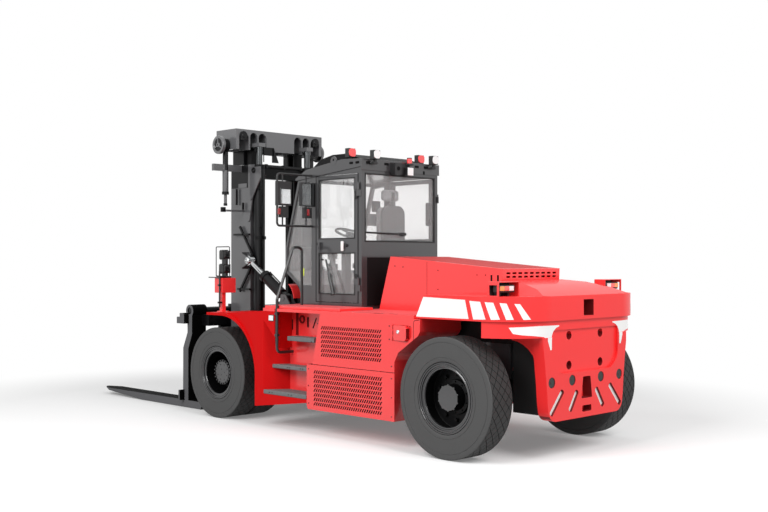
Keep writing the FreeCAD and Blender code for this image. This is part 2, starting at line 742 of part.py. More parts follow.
def cab_glass():
    panes = both(prism_xz(QUARTER, CAB_HALF_W - 20 - GLASS_T, CAB_HALF_W - 20))
    inner_w = CAB_HALF_W - CAB_WALL
    panes.append(box(CAB_REAR_X + 15, CAB_REAR_X + 15 + GLASS_T, -inner_w, inner_w, 2196, 2985))
    for low, high in windscreen_spans():
        pane = screen_prism(low, high, 18, 12, inner_w)
        panes.append(pane.cut(screen_prism(low, high, 18 - GLASS_T, 0, inner_w + 5)))
    return group(panes)


def door_leaf():
    x0, x1 = DOOR_X0 + DOOR_GAP, DOOR_X1 - DOOR_GAP
    z0, z1 = DOOR_Z0 + DOOR_GAP, DOOR_Z1 - DOOR_GAP
    y1 = CAB_HALF_W + 2
    leaf = box(x0, x1, y1 - DOOR_T, y1, z0, z1)
    upper = box(x0 + 45, x1 - 45, 0, 1000, 2235, z1 - 45)
    lower = box(x0 + 45, x1 - 45, 0, 1000, 1580, 2060)
    leaf = leaf.cut(upper).cut(lower)
    knuckles = []
    for z in (1620, 2720):
        px, py = DOOR_X0 - 22, CAB_HALF_W + 18
        barrel = rod((px, py, z + 75), (px, py, z + 145), DOOR_PIN_R + 8)
        strap = box(px, x0 + 40, CAB_HALF_W + 1, CAB_HALF_W + 26, z + 75, z + 145)
        hinge = barrel.fuse(strap).cut(rod((px, py, z), (px, py, z + 170), DOOR_PIN_R + BORE_FIT))
        knuckles.append(hinge)
    handle = box(x1 - 90, x1 - 60, y1 - 1, y1 + 30, 2110, 2190)
    return fuse([leaf, handle] + knuckles)


def door_glass():
    x0, x1 = DOOR_X0 + DOOR_GAP + 45, DOOR_X1 - DOOR_GAP - 45
    z1 = DOOR_Z1 - DOOR_GAP - 45
    y1 = CAB_HALF_W - 16
    return group([box(x0, x1, y1 - GLASS_T, y1, 2235, z1),
                  box(x0, x1, y1 - GLASS_T, y1, 1580, 2060)])


def seat_frame():
    x = SEAT_X
    z = SEAT_Z
    base = box(x - 10, x + 330, -200, 200, CAB_FLOOR_Z + CAB_SHELL_T, z - 60)
    pan = box(x - 60, x + 420, -225, 225, z - 60, z)
    back = box(x - 60, x - 25, -190, 190, z - 10, z + 690)
    stem = box(x - 55, x - 40, -60, 60, z + 680, z + 850)
    return fuse([base, pan, back, stem])


def seat_pads():
    x = SEAT_X
    z = SEAT_Z
    cushion = box(x + 90, x + 440, -230, 230, z, z + 100)
    back = box(x - 25, x + 85, -220, 220, z + 10, z + 700)
    head = box(x - 40, x + 60, -150, 150, z + 730, z + 930)
    return group([rounded(cushion, 25, is_along("z")), rounded(back, 25, is_along("x")),
                  rounded(head, 25, is_along("x"))])


def operator_console():
    floor = CAB_FLOOR_Z + CAB_SHELL_T
    column = box(-1190, -1112, -45, 45, floor, 2080)
    top = V(-1225, 0, 2290)
    axis = V(-85, 0, 240).normalize()
    tilt = rod((-1140, 0, 2050), (top.x, top.y, top.z), 32)
    hub = Part.makeCylinder(60, 30, top, axis)
    centre = top + axis * 20
    rim = Part.makeTorus(190, 15, centre, axis)
    spokes = []
    for angle in (0, 120, 240):
        spoke = box(0, 190, -15, 15, -8, 8)
        spoke.rotate(V(0, 0, 0), V(0, 0, 1), angle)
        spoke.Placement = FreeCAD.Placement(centre, FreeCAD.Rotation(V(0, 0, 1), axis)).multiply(
            spoke.Placement)
        spokes.append(spoke)
    armrest = box(-1750, -1420, -420, -300, floor, SEAT_Z + 350)
    screen = box(-1130, -1080, 300, 520, 2050, 2230)
    screen_arm = box(-1130, -1100, 380, 420, floor, 2060)
    return group([fuse([column, tilt, hub, rim] + spokes), armrest,
                  fuse([screen, screen_arm])])


def mirrors():
    x = -1250
    bar = bent_tube([(x, CAB_HALF_W, 2384), (x, 1200, 2384), (x, 1200, 2995),
                     (x, CAB_HALF_W + 15, 2995)], 13, 40)
    heads = []
    for y in (1120, 755):
        heads.append(box(x - 45, x + 5, y - 105, y + 105, 2620, 2905))
        heads.append(box(x - 40, x + 0, y - 60, y + 60, 2480, 2610))
        heads.append(rod((x - 2, y, 2384), (x - 2, y, 2995), 9))
    return fuse([bar] + heads)


def handrail_path():
    x = RAIL_X
    return [(x, RECESS_Y, 895), (x, RAIL_OUT, 895), (x, RAIL_OUT, 1518), (x, 940, 2132),
            (x, 800, 2132), (x, 800, DECK_Z + TREAD_T)]


def handrail():
    return bent_tube(handrail_path(), RAIL_TUBE_R, 60)


def rail_room():
    """The notch that the deck and the side panel leave for the handrail."""
    return box(RAIL_X - RAIL_TUBE_R - 4, RAIL_X + RAIL_TUBE_R + 4, RAIL_OUT - RAIL_TUBE_R - 4,
               HALF_WIDTH + 10, 850, 1500)


def handrails():
    return group(both(handrail()))


# ---------------------------------------------------------------- mast

def outer_rail():
    web = prism_xz([(RAIL_X0, MAST_Z0 + 150), (RAIL_X0, MAST_Z1), (RAIL_X1, MAST_Z1),
                    (RAIL_X1, MAST_Z0), (RAIL_X0 + 40, MAST_Z0)],
                   RAIL_OUT_Y - RAIL_WEB, RAIL_OUT_Y)
    eye_z = TILT_EYE_Z
    eye_plate = [(RAIL_X0 + 30, eye_z - 193), (RAIL_X0, eye_z - 173), (RAIL_X0 - 45, eye_z - 43),
                 (RAIL_X0 - 45, eye_z + 37), (RAIL_X0, eye_z + 167), (RAIL_X0 + 30, eye_z + 187)]
    top_plate = [(RAIL_X0 + 30, MAST_Z1 - 750), (RAIL_X0, MAST_Z1 - 730), (RAIL_X0 - 90, MAST_Z1 - 270),
                 (RAIL_X0 - 90, MAST_Z1), (RAIL_X0 + 30, MAST_Z1)]
    cheeks = [prism_xz(shape, RAIL_OUT_Y, RAIL_OUT_Y + CHEEK_T) for shape in (eye_plate, top_plate)]
    rear = box(RAIL_X0, RAIL_X0 + FLANGE_T, FLANGE_Y, RAIL_OUT_Y - 5, MAST_Z0 + 150, MAST_Z1)
    front = box(CHANNEL_X1 - FLANGE_T, CHANNEL_X1, FLANGE_Y, RAIL_OUT_Y - 5, MAST_Z0, MAST_Z1)
    hook = rod_y(0, TILT_Z, RAIL_OUT_Y - RAIL_WEB, RAIL_OUT_Y, AXLE_TUBE_R + 100)
    arm = prism_xz([(0, TILT_Z - 200), (0, TILT_Z + 235), (RAIL_X0 + 20, TILT_Z + 260),
                    (RAIL_X0 + 60, TILT_Z - 220)], RAIL_OUT_Y - RAIL_WEB, RAIL_OUT_Y)
    bore = rod_y(0, TILT_Z, 0, 1000, AXLE_TUBE_R + BORE_FIT)
    return fuse([web, rear, front, hook, arm] + cheeks).cut(bore)


def tilt_eye_lugs():
    lugs = []
    for y in (TILT_Y - TILT_EYE_W / 2 - 3 - TILT_LUG_T, TILT_Y + TILT_EYE_W / 2 + 3):
        lugs.append(prism_xz([(RAIL_X0 + 60, TILT_EYE_Z + 110), (TILT_EYE_X, TILT_EYE_Z + 45),
                              (TILT_EYE_X - 45, TILT_EYE_Z), (TILT_EYE_X, TILT_EYE_Z - 45),
                              (RAIL_X0 + 60, TILT_EYE_Z - 110)], y, y + TILT_LUG_T))
    back = box(RAIL_X0 + 20, RAIL_X0 + 60, RAIL_OUT_Y - 5, TILT_Y + TILT_EYE_W / 2 + 3 + TILT_LUG_T,
               TILT_EYE_Z - 110, TILT_EYE_Z + 110)
    pin = rod_y(TILT_EYE_X, TILT_EYE_Z, TILT_Y - TILT_EYE_W / 2 - 25,
                TILT_Y + TILT_EYE_W / 2 + 25, TILT_PIN_R)
    return fuse(lugs + [back, pin])


def hose_arm():
    x, y = 375, 740
    arm = box(x - 25, x + 25, RAIL_OUT_Y - 5, y + 199, MAST_Z1 - 90, MAST_Z1 - 1)
    clamp = box(x - 75, x - 49, RAIL_OUT_Y - 5, y + 104, MAST_Z1 - 619, MAST_Z1 - 593)
    drop = rod((x, y, MAST_Z1 - 360), (x, y, MAST_Z1 - 80), 40)
    tip = rod((x, y, MAST_Z1 - 540), (x, y, MAST_Z1 - 350), 20)
    return fuse([arm, drop, tip]), clamp


def mast_outer():
    arm, clamp = hose_arm()
    side = fuse([outer_rail(), tilt_eye_lugs(), arm, clamp])
    parts = both(side)
    low_x0 = RAIL_X0 - 27
    low_z1 = TILT_Z - sqrt((HANGER_R + HANGER_GAP) ** 2 - low_x0 ** 2)
    for x0, z0, z1 in ((low_x0, low_z1 - 130, low_z1), (RAIL_X0 - 70, 1000, 1150),
                       (RAIL_X0 - 70, MAST_Z1 - 180, MAST_Z1 - 30)):
        parts.append(box(x0, RAIL_X0 + 18, -FLANGE_Y - 8, FLANGE_Y + 8, z0, z1))
    grip = LIFT_R - 15
    shoe = box(LIFT_X - LIFT_R + 5, RAIL_X0 + 10, LIFT_Y - grip, LIFT_Y + grip, LIFT_Z0 - 40, LIFT_Z0)
    tube = rod((LIFT_X, LIFT_Y, LIFT_Z0), (LIFT_X, LIFT_Y, MAST_Z1), LIFT_R)
    clamp = box(LIFT_X, RAIL_X0 + 10, LIFT_Y - grip, LIFT_Y + grip, MAST_Z1 - 150,
                MAST_Z1 - 90).cut(tube)
    return fuse(parts + both(shoe) + both(clamp))


def lift_barrel():
    tube = rod((LIFT_X, LIFT_Y, LIFT_Z0), (LIFT_X, LIFT_Y, MAST_Z1), LIFT_R)
    bore = rod((LIFT_X, LIFT_Y, LIFT_Z0 + 40), (LIFT_X, LIFT_Y, MAST_Z1 - 30), LIFT_BORE_R)
    neck = rod((LIFT_X, LIFT_Y, MAST_Z1 - 40), (LIFT_X, LIFT_Y, MAST_Z1 + 5),
               LIFT_ROD_R + BORE_FIT)
    return tube.cut(bore).cut(neck)


def lift_barrels():
    return group(both(lift_barrel()))


def lift_rod():
    return rod((LIFT_X, LIFT_Y, MAST_Z1 - LIFT_STROKE - 200), (LIFT_X, LIFT_Y, CROSSHEAD_Z0 + 40),
               LIFT_ROD_R)


def lift_rods():
    return group(both(lift_rod()))


def inner_rail():
    x0 = RAIL_X0 + FLANGE_T + INNER_GAP
    x1 = CHANNEL_X1 - FLANGE_T - INNER_GAP
    z0 = MAST_Z0 + 40
    web = box(x0, x1, INNER_OUT_Y - INNER_T, INNER_OUT_Y, z0, CROSSHEAD_Z0 + 20)
    flanges = [box(x, x + INNER_T, INNER_IN_Y, INNER_OUT_Y, z0, CROSSHEAD_Z0 + 20)
               for x in (x0, x1 - INNER_T)]
    return fuse([web] + flanges)


def hose_sheave():
    x = (CROSSHEAD_X0 + CROSSHEAD_X1) / 2
    z = CROSSHEAD_Z0 + 57
    axle = rod_y(x, z, CROSSHEAD_Y - 40, SHEAVE_Y + 20, 30)
    drum = rod_y(x, z, CROSSHEAD_Y - 2, SHEAVE_Y, 88)
    disc = rod_y(x, z, SHEAVE_Y - 16, SHEAVE_Y + 18, SHEAVE_R)
    dish = rod_y(x, z, SHEAVE_Y, SHEAVE_Y + 30, SHEAVE_R - 38)
    return fuse([drum, disc.cut(dish), axle])


def crosshead():
    beam = box(CROSSHEAD_X0, CROSSHEAD_X1, -CROSSHEAD_Y, CROSSHEAD_Y, CROSSHEAD_Z0, CROSSHEAD_Z1)
    hollow = box(CROSSHEAD_X0 + 25, CROSSHEAD_X1 - 25, -CROSSHEAD_Y + 30, CROSSHEAD_Y - 30,
                 CROSSHEAD_Z0 - 5, CROSSHEAD_Z1 - 25)
    beam = beam.cut(hollow)
    for y0, y1 in ((240, 370), (390, 510), (535, 690)):
        mid = (y0 + y1) / 2
        window = box(CROSSHEAD_X0 - 5, CROSSHEAD_X0 + 30, y0, y1, CROSSHEAD_Z0 - 5,
                     CROSSHEAD_Z1 - 35 - (y1 - y0) / 2)
        crown = rod((CROSSHEAD_X0 - 5, mid, CROSSHEAD_Z1 - 35 - (y1 - y0) / 2),
                    (CROSSHEAD_X0 + 30, mid, CROSSHEAD_Z1 - 35 - (y1 - y0) / 2), (y1 - y0) / 2)
        for piece in both(window.fuse(crown)):
            beam = beam.cut(piece)
    ribs = []
    for y in (230, 375, 520, 700):
        ribs.append(box(CROSSHEAD_X0 + 20, CROSSHEAD_X1 - 20, y, y + 14, CROSSHEAD_Z0,
                        CROSSHEAD_Z1 - 20))
    seat = box(LIFT_X - 60, CROSSHEAD_X0 + 40, LIFT_Y - 55, LIFT_Y + 55, CROSSHEAD_Z0 + 40,
               CROSSHEAD_Z0 + 90)
    extra = ribs + [seat, hose_sheave()]
    return fuse([beam] + extra + [mirrored(s) for s in extra])


def mast_inner():
    parts = both(inner_rail()) + [crosshead()]
    x0 = RAIL_X0 + FLANGE_T - 5
    for z0 in (MAST_Z0 + 60, 1200):
        parts.append(box(x0, x0 + 30, -INNER_IN_Y - 10, INNER_IN_Y + 10, z0, z0 + 140))
    return fuse(parts)


# ---------------------------------------------------------------- tilt cylinders

def tilt_axis():
    line = V(TILT_EYE_X - TILT_FOOT_X, 0, TILT_EYE_Z - TILT_FOOT_Z)
    return line.normalize()


def tilt_length():
    return hypot(TILT_EYE_X - TILT_FOOT_X, TILT_EYE_Z - TILT_FOOT_Z)


def placed_on_tilt_axis(shape):
    """Puts a shape modelled along +X from the foot pin onto the real cylinder axis."""
    turn = FreeCAD.Rotation(V(1, 0, 0), tilt_axis())
    placed = shape.copy()
    placed.Placement = FreeCAD.Placement(V(TILT_FOOT_X, TILT_Y, TILT_FOOT_Z), turn)
    return placed


def eye(x):
    half = TILT_EYE_W / 2
    return rod((x, -half, 0), (x, half, 0), TILT_EYE_R)


def eye_bore(x, clearance):
    return rod((x, -100, 0), (x, 100, 0), TILT_PIN_R + clearance)


def tilt_barrel():
    end = TILT_BARREL_L
    tube = rod((TILT_NECK, 0, 0), (end, 0, 0), TILT_BARREL_R)
    half = TILT_EYE_W / 2
    neck = box(0, TILT_NECK + 10, -half, half, -half - 10, half + 10)
    collar = rod((end - 70, 0, 0), (end - 10, 0, 0), TILT_BARREL_R + 10)
    bore = rod((TILT_NECK + 20, 0, 0), (end + 20, 0, 0), TILT_ROD_R + BORE_FIT)
    body = fuse([tube, neck, collar, eye(0)]).cut(bore).cut(eye_bore(0, BORE_FIT))
    return placed_on_tilt_axis(body)


def tilt_rod():
    length = tilt_length()
    stem = rod((length - TILT_STEM_L, 0, 0), (length - 50, 0, 0), TILT_ROD_R)
    body = fuse([stem, eye(length)]).cut(eye_bore(length, OPEN_EYE_GAP))
    return placed_on_tilt_axis(body)


# ---------------------------------------------------------------- carriage and forks

def carriage():
    x, y, z0 = CARRIAGE_X, CARRIAGE_Y, CARRIAGE_Z0
    upper = box(x - 60, x + 100, -y, y, 1100, 1250)
    lower = box(x + 40, FORK_FACE_X - FORK_T - 10, -y, y, z0, 250)
    back = box(x, x + 50, -500, 500, z0, 1240)
    back = back.cut(box(x - 60, x + 100, -150, 150, 350, 1000))
    shaft = rod_y(FORK_SHAFT_X, FORK_SHAFT_Z, -FORK_OUT_Y + 10, FORK_OUT_Y - 10, FORK_SHAFT_R)
    parts = [upper, lower, back, shaft]
    for y0 in (-210, -30, 150):
        parts.append(prism_xz([(x - 40, 1110), (x, 1350), (FORK_SHAFT_X - 35, 1375),
                               (FORK_SHAFT_X + 55, 1375), (FORK_SHAFT_X + 65, 1230),
                               (x + 100, 1110)], y0, y0 + 60))
    for side in both(roller_plate()):
        parts.append(side)
    return fuse(parts)


def roller_plate():
    x_mid = (RAIL_X0 + CHANNEL_X1) / 2
    x1 = CARRIAGE_X + 10
    y0 = CARRIAGE_PLATE_Y - CARRIAGE_PLATE_T
    plate = prism_xz([(x_mid - 55, 240), (x_mid - 55, 1040), (x_mid + 100, 1100), (x1, 1200),
                      (x1, 200), (x_mid + 60, 200)], y0, CARRIAGE_PLATE_Y)
    rollers = [rod_y(x_mid, z, CARRIAGE_PLATE_Y - 5, INNER_OUT_Y - INNER_T - 8, ROLLER_R)
               for z in (300, 960)]
    return fuse([plate] + rollers)


def fork():
    x, z = FORK_SHAFT_X, FORK_SHAFT_Z
    back = FORK_FACE_X - FORK_T
    y0, y1 = FORK_OUT_Y - FORK_W, FORK_OUT_Y
    shank = [(x - 55, z), (x - 55, 990), (back, 790), (back, FORK_TOP_Z),
             (FORK_HEEL_X, FORK_TOP_Z), (FORK_HEEL_X, 30), (FORK_HEEL_X + 25, 5),
             (FORK_THIN_X, 5), (FORK_TIP_X, FORK_TOP_Z - 22), (FORK_TIP_X, FORK_TOP_Z),
             (FORK_FACE_X + 25, FORK_TOP_Z), (FORK_FACE_X, FORK_TOP_Z + 25), (FORK_FACE_X, 800),
             (x + 50, 1010), (x + 50, 1130), (x + 60, z)]
    body = prism_xz(shank, y0, y1)
    head = rod_y(x, z, y0, y1, FORK_EYE_R)
    upper_lug = prism_xz([(x + 15, 1130), (x + 15, 1270), (x + 115, 1270), (x + 115, 1217),
                          (x + 185, 1217), (x + 185, 1130)], y1 - 60, y1 + FORK_LUG_W)
    lower_lug = box(FORK_FACE_X - 35, FORK_FACE_X - 5, y1 - 20, y1 + FORK_LUG_W, FORK_TOP_Z, 237)
    hole = rod_y(x, z, y0 - 10, y1 + FORK_LUG_W + 10, FORK_SHAFT_R + BORE_FIT)
    mid, half = (y0 + y1) / 2, 25
    point = prism_xy([(0, y0), (FORK_TIP_X - FORK_POINT_L, y0), (FORK_TIP_X, mid - half),
                      (FORK_TIP_X, mid + half), (FORK_TIP_X - FORK_POINT_L, y1),
                      (FORK_FACE_X + 200, y1), (FORK_FACE_X + 200, y1 + FORK_LUG_W),
                      (0, y1 + FORK_LUG_W)], 0, 2000)
    return fuse([body, head, upper_lug, lower_lug]).cut(hole).common(point)


def nodes():
    left_right = {
        "fork": fork(),
        "tilt_barrel": tilt_barrel(),
        "tilt_rod": tilt_rod(),
        "front_tyres": front_tyres(),
        "front_rims": front_rim(),
        "steer_knuckle": steer_knuckle(),
        "rear_tyre": rear_tyre(),
        "rear_rim": rear_rim(),
        "cab_door": door_leaf(),
        "cab_door_glass": door_glass(),
    }
    result = {
        "chassis_frame": chassis_frame(),
        "axle_beams": axle_beams(),
        "battery_block": battery_block(),
        "side_boxes": side_boxes(),
        "charge_door": charge_door(),
        "steps_and_deck": steps_and_deck(),
        "fenders": fenders(),
        "hood": hood(),
        "counterweight_upper": counterweight_upper(),
        "counterweight_lower": counterweight_lower(),
        "road_lamps": road_lamps(),
        "roof_lamps": roof_lamps(),
        "cab_frame": cab_frame(),
        "cab_roof": cab_roof(),
        "cab_glass": cab_glass(),
        "seat_frame": seat_frame(),
        "seat_pads": seat_pads(),
        "operator_console": operator_console(),
        "mirrors": mirrors(),
        "handrails": handrails(),
        "mast_outer": mast_outer(),
        "lift_barrels": lift_barrels(),
        "mast_inner": mast_inner(),
        "lift_rods": lift_rods(),
        "carriage": carriage(),
    }
    for name, shape in left_right.items():
        result[name + "_left"] = shape
        result[name + "_right"] = mirrored(shape)
    return result


def main():
    os.makedirs("parts", exist_ok=True)
    for name, shape in nodes().items():
        placed = shape.copy()
        placed.translate(V(X_SHIFT, 0, 0))
        placed.exportStep("parts/" + name + ".step")
        print(name, len(placed.Solids), placed.isValid(), round(placed.Volume / 1e9, 4))


if __name__ == "__main__":
    main()
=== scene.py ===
"""Heavy fork lift truck: the finished visual model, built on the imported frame."""
from math import atan2, cos, hypot, pi, radians, sin

import bmesh
import bpy
from mathutils import Matrix, Vector


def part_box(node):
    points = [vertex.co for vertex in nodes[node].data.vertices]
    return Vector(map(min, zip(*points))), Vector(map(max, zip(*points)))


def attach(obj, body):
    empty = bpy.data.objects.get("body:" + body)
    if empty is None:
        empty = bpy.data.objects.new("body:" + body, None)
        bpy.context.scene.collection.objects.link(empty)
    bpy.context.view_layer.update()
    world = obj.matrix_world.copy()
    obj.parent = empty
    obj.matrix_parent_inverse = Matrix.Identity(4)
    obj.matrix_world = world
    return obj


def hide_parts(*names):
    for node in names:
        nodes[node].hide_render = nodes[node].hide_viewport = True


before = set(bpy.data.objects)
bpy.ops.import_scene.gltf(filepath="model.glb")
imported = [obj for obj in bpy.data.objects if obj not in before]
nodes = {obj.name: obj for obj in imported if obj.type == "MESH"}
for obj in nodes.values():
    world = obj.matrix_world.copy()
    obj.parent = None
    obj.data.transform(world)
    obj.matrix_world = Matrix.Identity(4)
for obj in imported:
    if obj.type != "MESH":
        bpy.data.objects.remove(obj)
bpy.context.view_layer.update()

# ---------------------------------------------------------------- camera, light and floor
# A photographer's pale sweep: a white floor that runs out into a white room,
# two large softboxes on the side of the camera, and daylight from all round.

DRIVE_X = (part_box("front_tyres_left")[0].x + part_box("front_tyres_left")[1].x) / 2
WHITE = (1, 1, 1, 1)


def at(x, y, z):
    """A point in metres, from millimetres forward, left and up of the drive axle's middle."""
    return Vector((DRIVE_X + x / 1000, y / 1000, z / 1000))


def linear(hex_colour):
    """An sRGB hex colour as the linear colour that a shader takes."""
    parts = [int(hex_colour[i:i + 2], 16) / 255 for i in (1, 3, 5)]
    return [p / 12.92 if p <= 0.04045 else ((p + 0.055) / 1.055) ** 2.4 for p in parts] + [1]


def add(tree, kind, settings, inputs):
    """Adds one shader node.  An input is a plain value, or the output that is linked to it."""
    node = tree.nodes.new(kind)
    for name, value in settings.items():
        setattr(node, name, value)
    for name, value in inputs.items():
        if isinstance(value, bpy.types.NodeSocket):
            tree.links.new(value, node.inputs[name])
        else:
            node.inputs[name].default_value = value
    return node


def new_material(name):
    """An empty material and its tree."""
    material = bpy.data.materials.new(name)
    material.use_nodes = True
    material.node_tree.nodes.clear()
    return material, material.node_tree


def seen_rays(tree):
    """1 on rays that show a thing, straight or in a mirror or a pane; 0 on rays that light it."""
    path = add(tree, "ShaderNodeLightPath", {}, {})
    seen = path.outputs["Is Camera Ray"]
    for ray in ("Is Glossy Ray", "Is Transmission Ray"):
        seen = add(tree, "ShaderNodeMath", {"operation": "MAXIMUM"},
                   {0: seen, 1: path.outputs[ray]}).outputs[0]
    return seen


def link(name, data):
    """A new object in the scene."""
    made = bpy.data.objects.new(name, data)
    bpy.context.scene.collection.objects.link(made)
    return made


scene = bpy.context.scene
scene.view_settings.view_transform = "Standard"
camera = link("camera", bpy.data.cameras.new("camera"))
camera.data.lens = 50
camera.data.sensor_width = 36
camera.location = at(-10961, 9141, 1985)
camera.rotation_euler = (radians(90.19345), 0, radians(-135))
scene.camera = camera

world = bpy.data.worlds.new("white_room")
world.use_nodes = True
scene.world = world
room = world.node_tree
room.nodes.clear()
white = add(room, "ShaderNodeBackground", {}, {"Color": WHITE, "Strength": 1.0})
day = add(room, "ShaderNodeBackground", {}, {"Color": WHITE, "Strength": 0.5})
sky = add(room, "ShaderNodeMixShader", {},
          {0: seen_rays(room), 1: day.outputs[0], 2: white.outputs[0]})
add(room, "ShaderNodeOutputWorld", {}, {"Surface": sky.outputs[0]})

SOFTBOX_M = 6  # the side of each softbox
for name, place, watts in (("side_softbox", at(-3000, 10500, 7600), 1000),
                           ("rear_softbox", at(-11500, 1500, 8000), 760)):
    lamp = link(name, bpy.data.lights.new(name, "AREA"))
    lamp.data.shape = "SQUARE"
    lamp.data.size = SOFTBOX_M
    lamp.data.energy = watts
    lamp.location = place
    lamp.rotation_euler = (at(-1800, 0, 1200) - place).to_track_quat("-Z", "Y").to_euler()

bm = bmesh.new()
bmesh.ops.create_grid(bm, x_segments=2, y_segments=2, size=60)
bmesh.ops.translate(bm, verts=bm.verts, vec=(0, 0, -0.001))
floor = link("floor", bpy.data.meshes.new("floor"))
bm.to_mesh(floor.data)
bm.free()

sweep, tree = new_material("white_sweep")  # matt paper that fades into the white room
place = add(tree, "ShaderNodeTexCoord", {}, {})
away = add(tree, "ShaderNodeVectorMath", {"operation": "LENGTH"}, {0: place.outputs["Object"]})
fade = add(tree, "ShaderNodeMapRange", {"interpolation_type": "SMOOTHSTEP"},
           {"Value": away.outputs["Value"], "From Min": 3.8, "From Max": 7.2})
seen = seen_rays(tree)
fade = add(tree, "ShaderNodeMath", {"operation": "MAXIMUM"}, {0: fade.outputs[0], 1: 0.17})
fade = add(tree, "ShaderNodeMath", {"operation": "MULTIPLY"}, {0: fade.outputs[0], 1: seen})
tone = add(tree, "ShaderNodeMix", {"data_type": "RGBA"},
           {0: seen, 6: linear("#9C9C9C"), 7: linear("#F7F7F7")})
paper = add(tree, "ShaderNodeBsdfDiffuse", {}, {"Color": tone.outputs[2]})
glow = add(tree, "ShaderNodeEmission", {}, {"Color": WHITE, "Strength": 1.0})
mix = add(tree, "ShaderNodeMixShader", {},
          {0: fade.outputs[0], 1: paper.outputs[0], 2: glow.outputs[0]})
add(tree, "ShaderNodeOutputMaterial", {}, {"Surface": mix.outputs[0]})
floor.data.materials.append(sweep)

# ---------------------------------------------------------------- axles
# The drive axle's beam and the steer axle with its two knuckles.  Nodular iron castings,
# shot blasted and dipped in black primer, so a fine sand grain shows through the paint.

NOISE = "ShaderNodeTexNoise"


def tint(colour, *factors):
    """A colour made darker and lighter."""
    return [[c * factor for c in linear(colour)[:3]] + [1] for factor in factors]


def surface(name, tones, clouds, grain, relief, gloss, finish):
    """A coat or a moulded skin: clouds between two tones, a fine relief, and its gloss.

    clouds is (mm, detail); grain is (kind, settings, inputs, output); relief is (strength,
    metres); gloss is one roughness, or two that the clouds run between."""
    material, tree = new_material(name)
    place = add(tree, "ShaderNodeTexCoord", {}, {}).outputs["Object"]
    colour = tones[0]
    if clouds:
        cloud = add(tree, NOISE, {}, {"Vector": place, "Scale": 1000 / clouds[0],
                                      "Detail": clouds[1]}).outputs["Fac"]
        colour = add(tree, "ShaderNodeMix", {"data_type": "RGBA"},
                     {0: cloud, 6: tones[0], 7: tones[1]}).outputs[2]
        if isinstance(gloss, tuple):
            gloss = add(tree, "ShaderNodeMapRange", {},
                        {"Value": cloud, "To Min": gloss[0], "To Max": gloss[1]}).outputs[0]
    kind, settings, inputs, output = grain
    height = add(tree, kind, settings, {"Vector": place, **inputs}).outputs[output]
    bump = add(tree, "ShaderNodeBump", {},
               {"Height": height, "Strength": relief[0], "Distance": relief[1]})
    skin = add(tree, "ShaderNodeBsdfPrincipled", {},
               {"Base Color": colour, "Roughness": gloss, "IOR": 1.5,
                "Normal": bump.outputs[0], **finish})
    add(tree, "ShaderNodeOutputMaterial", {}, {"Surface": skin.outputs[0]})
    return material


def finish_node(material, *names):
    """Gives CAD nodes their finish."""
    for name in names:
        nodes[name].data.materials.clear()
        nodes[name].data.materials.append(material)


# Nodular iron under primer: dull, with the sand mould's grain of 6 mm.
black_iron = surface("black_iron", tint("#333335", 0.82, 1.18), (300, 3),
                     (NOISE, {}, {"Scale": 1000 / 6, "Detail": 3}, "Fac"), (0.5, 0.0012), 0.6, {})
finish_node(black_iron, "axle_beams", "steer_knuckle_left", "steer_knuckle_right")

# ---------------------------------------------------------------- chassis and battery
# Welded plate frame with the feet of the tilt cylinders, and the battery in its steel case.
# Plate and case are sprayed with charcoal polyurethane enamel.


def enamel(name, colour, roughness, peel_mm=5, peel=0.12, coat=1.0, shine=0.5):
    """Sprayed two-pack polyurethane enamel: a gloss skin with orange peel."""
    return surface(name, tint(colour, 0.94, 1.06), (700, 4),
                   (NOISE, {}, {"Scale": 1000 / peel_mm, "Detail": 1}, "Fac"), (peel, 0.0004),
                   (roughness - 0.05, roughness + 0.07),
                   {"Specular IOR Level": shine, "Coat Weight": coat, "Coat Roughness": 0.12,
                    "Coat IOR": 1.5})


charcoal_enamel = enamel("charcoal_enamel", "#303032", 0.42)
finish_node(charcoal_enamel, "chassis_frame")
finish_node(enamel("battery_case_enamel", "#2C3A4A", 0.5), "battery_block")

# ---------------------------------------------------------------- tyres
# Solid rubber tyres for heavy trucks: flat walls with moulded rings, square shoulders and
# diamond blocks.  The wall is turned as one ring and the blocks are raised out of the tread.

SIDES = ((1, "left"), (-1, "right"))
FRONT_R, REAR_R, WHEELBASE = 566.6, 610, 3916  # millimetres
GROOVE, SHOULDER, GAP = 11, 11, 4.5  # depth of the grooves, drop of the edge, half a groove
COLUMNS = 3  # of blocks across the tread


def put(bm, part, index=None):
    """Adds a finished part to a piece, all of it in one of the piece's materials if given."""
    if index is not None:
        for face in part.faces:
            face.material_index = index
    mesh = bpy.data.meshes.new("part")
    part.to_mesh(mesh)
    part.free()
    bm.from_mesh(mesh)
    bpy.data.meshes.remove(mesh)


def fit(bm, name, materials, replaced=(), body="truck", sharp=35):
    """Makes a finished piece of a bmesh and lets it ride on its body."""
    for face in bm.faces:
        face.smooth = True
    for edge in bm.edges:
        if not edge.is_manifold or edge.calc_face_angle(0) > radians(sharp):
            edge.smooth = False
    piece = link(name, bpy.data.meshes.new(name))
    bm.to_mesh(piece.data)
    bm.free()
    for material in materials:
        piece.data.materials.append(material)
    piece.modifiers.new("even_light", "WEIGHTED_NORMAL").keep_sharp = True
    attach(piece, body)
    if replaced:
        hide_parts(*replaced)
    return piece


def outwards(bm):
    """Points the faces of closed shapes outwards."""
    bmesh.ops.recalc_face_normals(bm, faces=bm.faces)


def to_side(bm, side):
    """Puts a part that was made on the left on its own side of the truck."""
    bmesh.ops.scale(bm, verts=bm.verts, vec=(1, side, 1))
    outwards(bm)


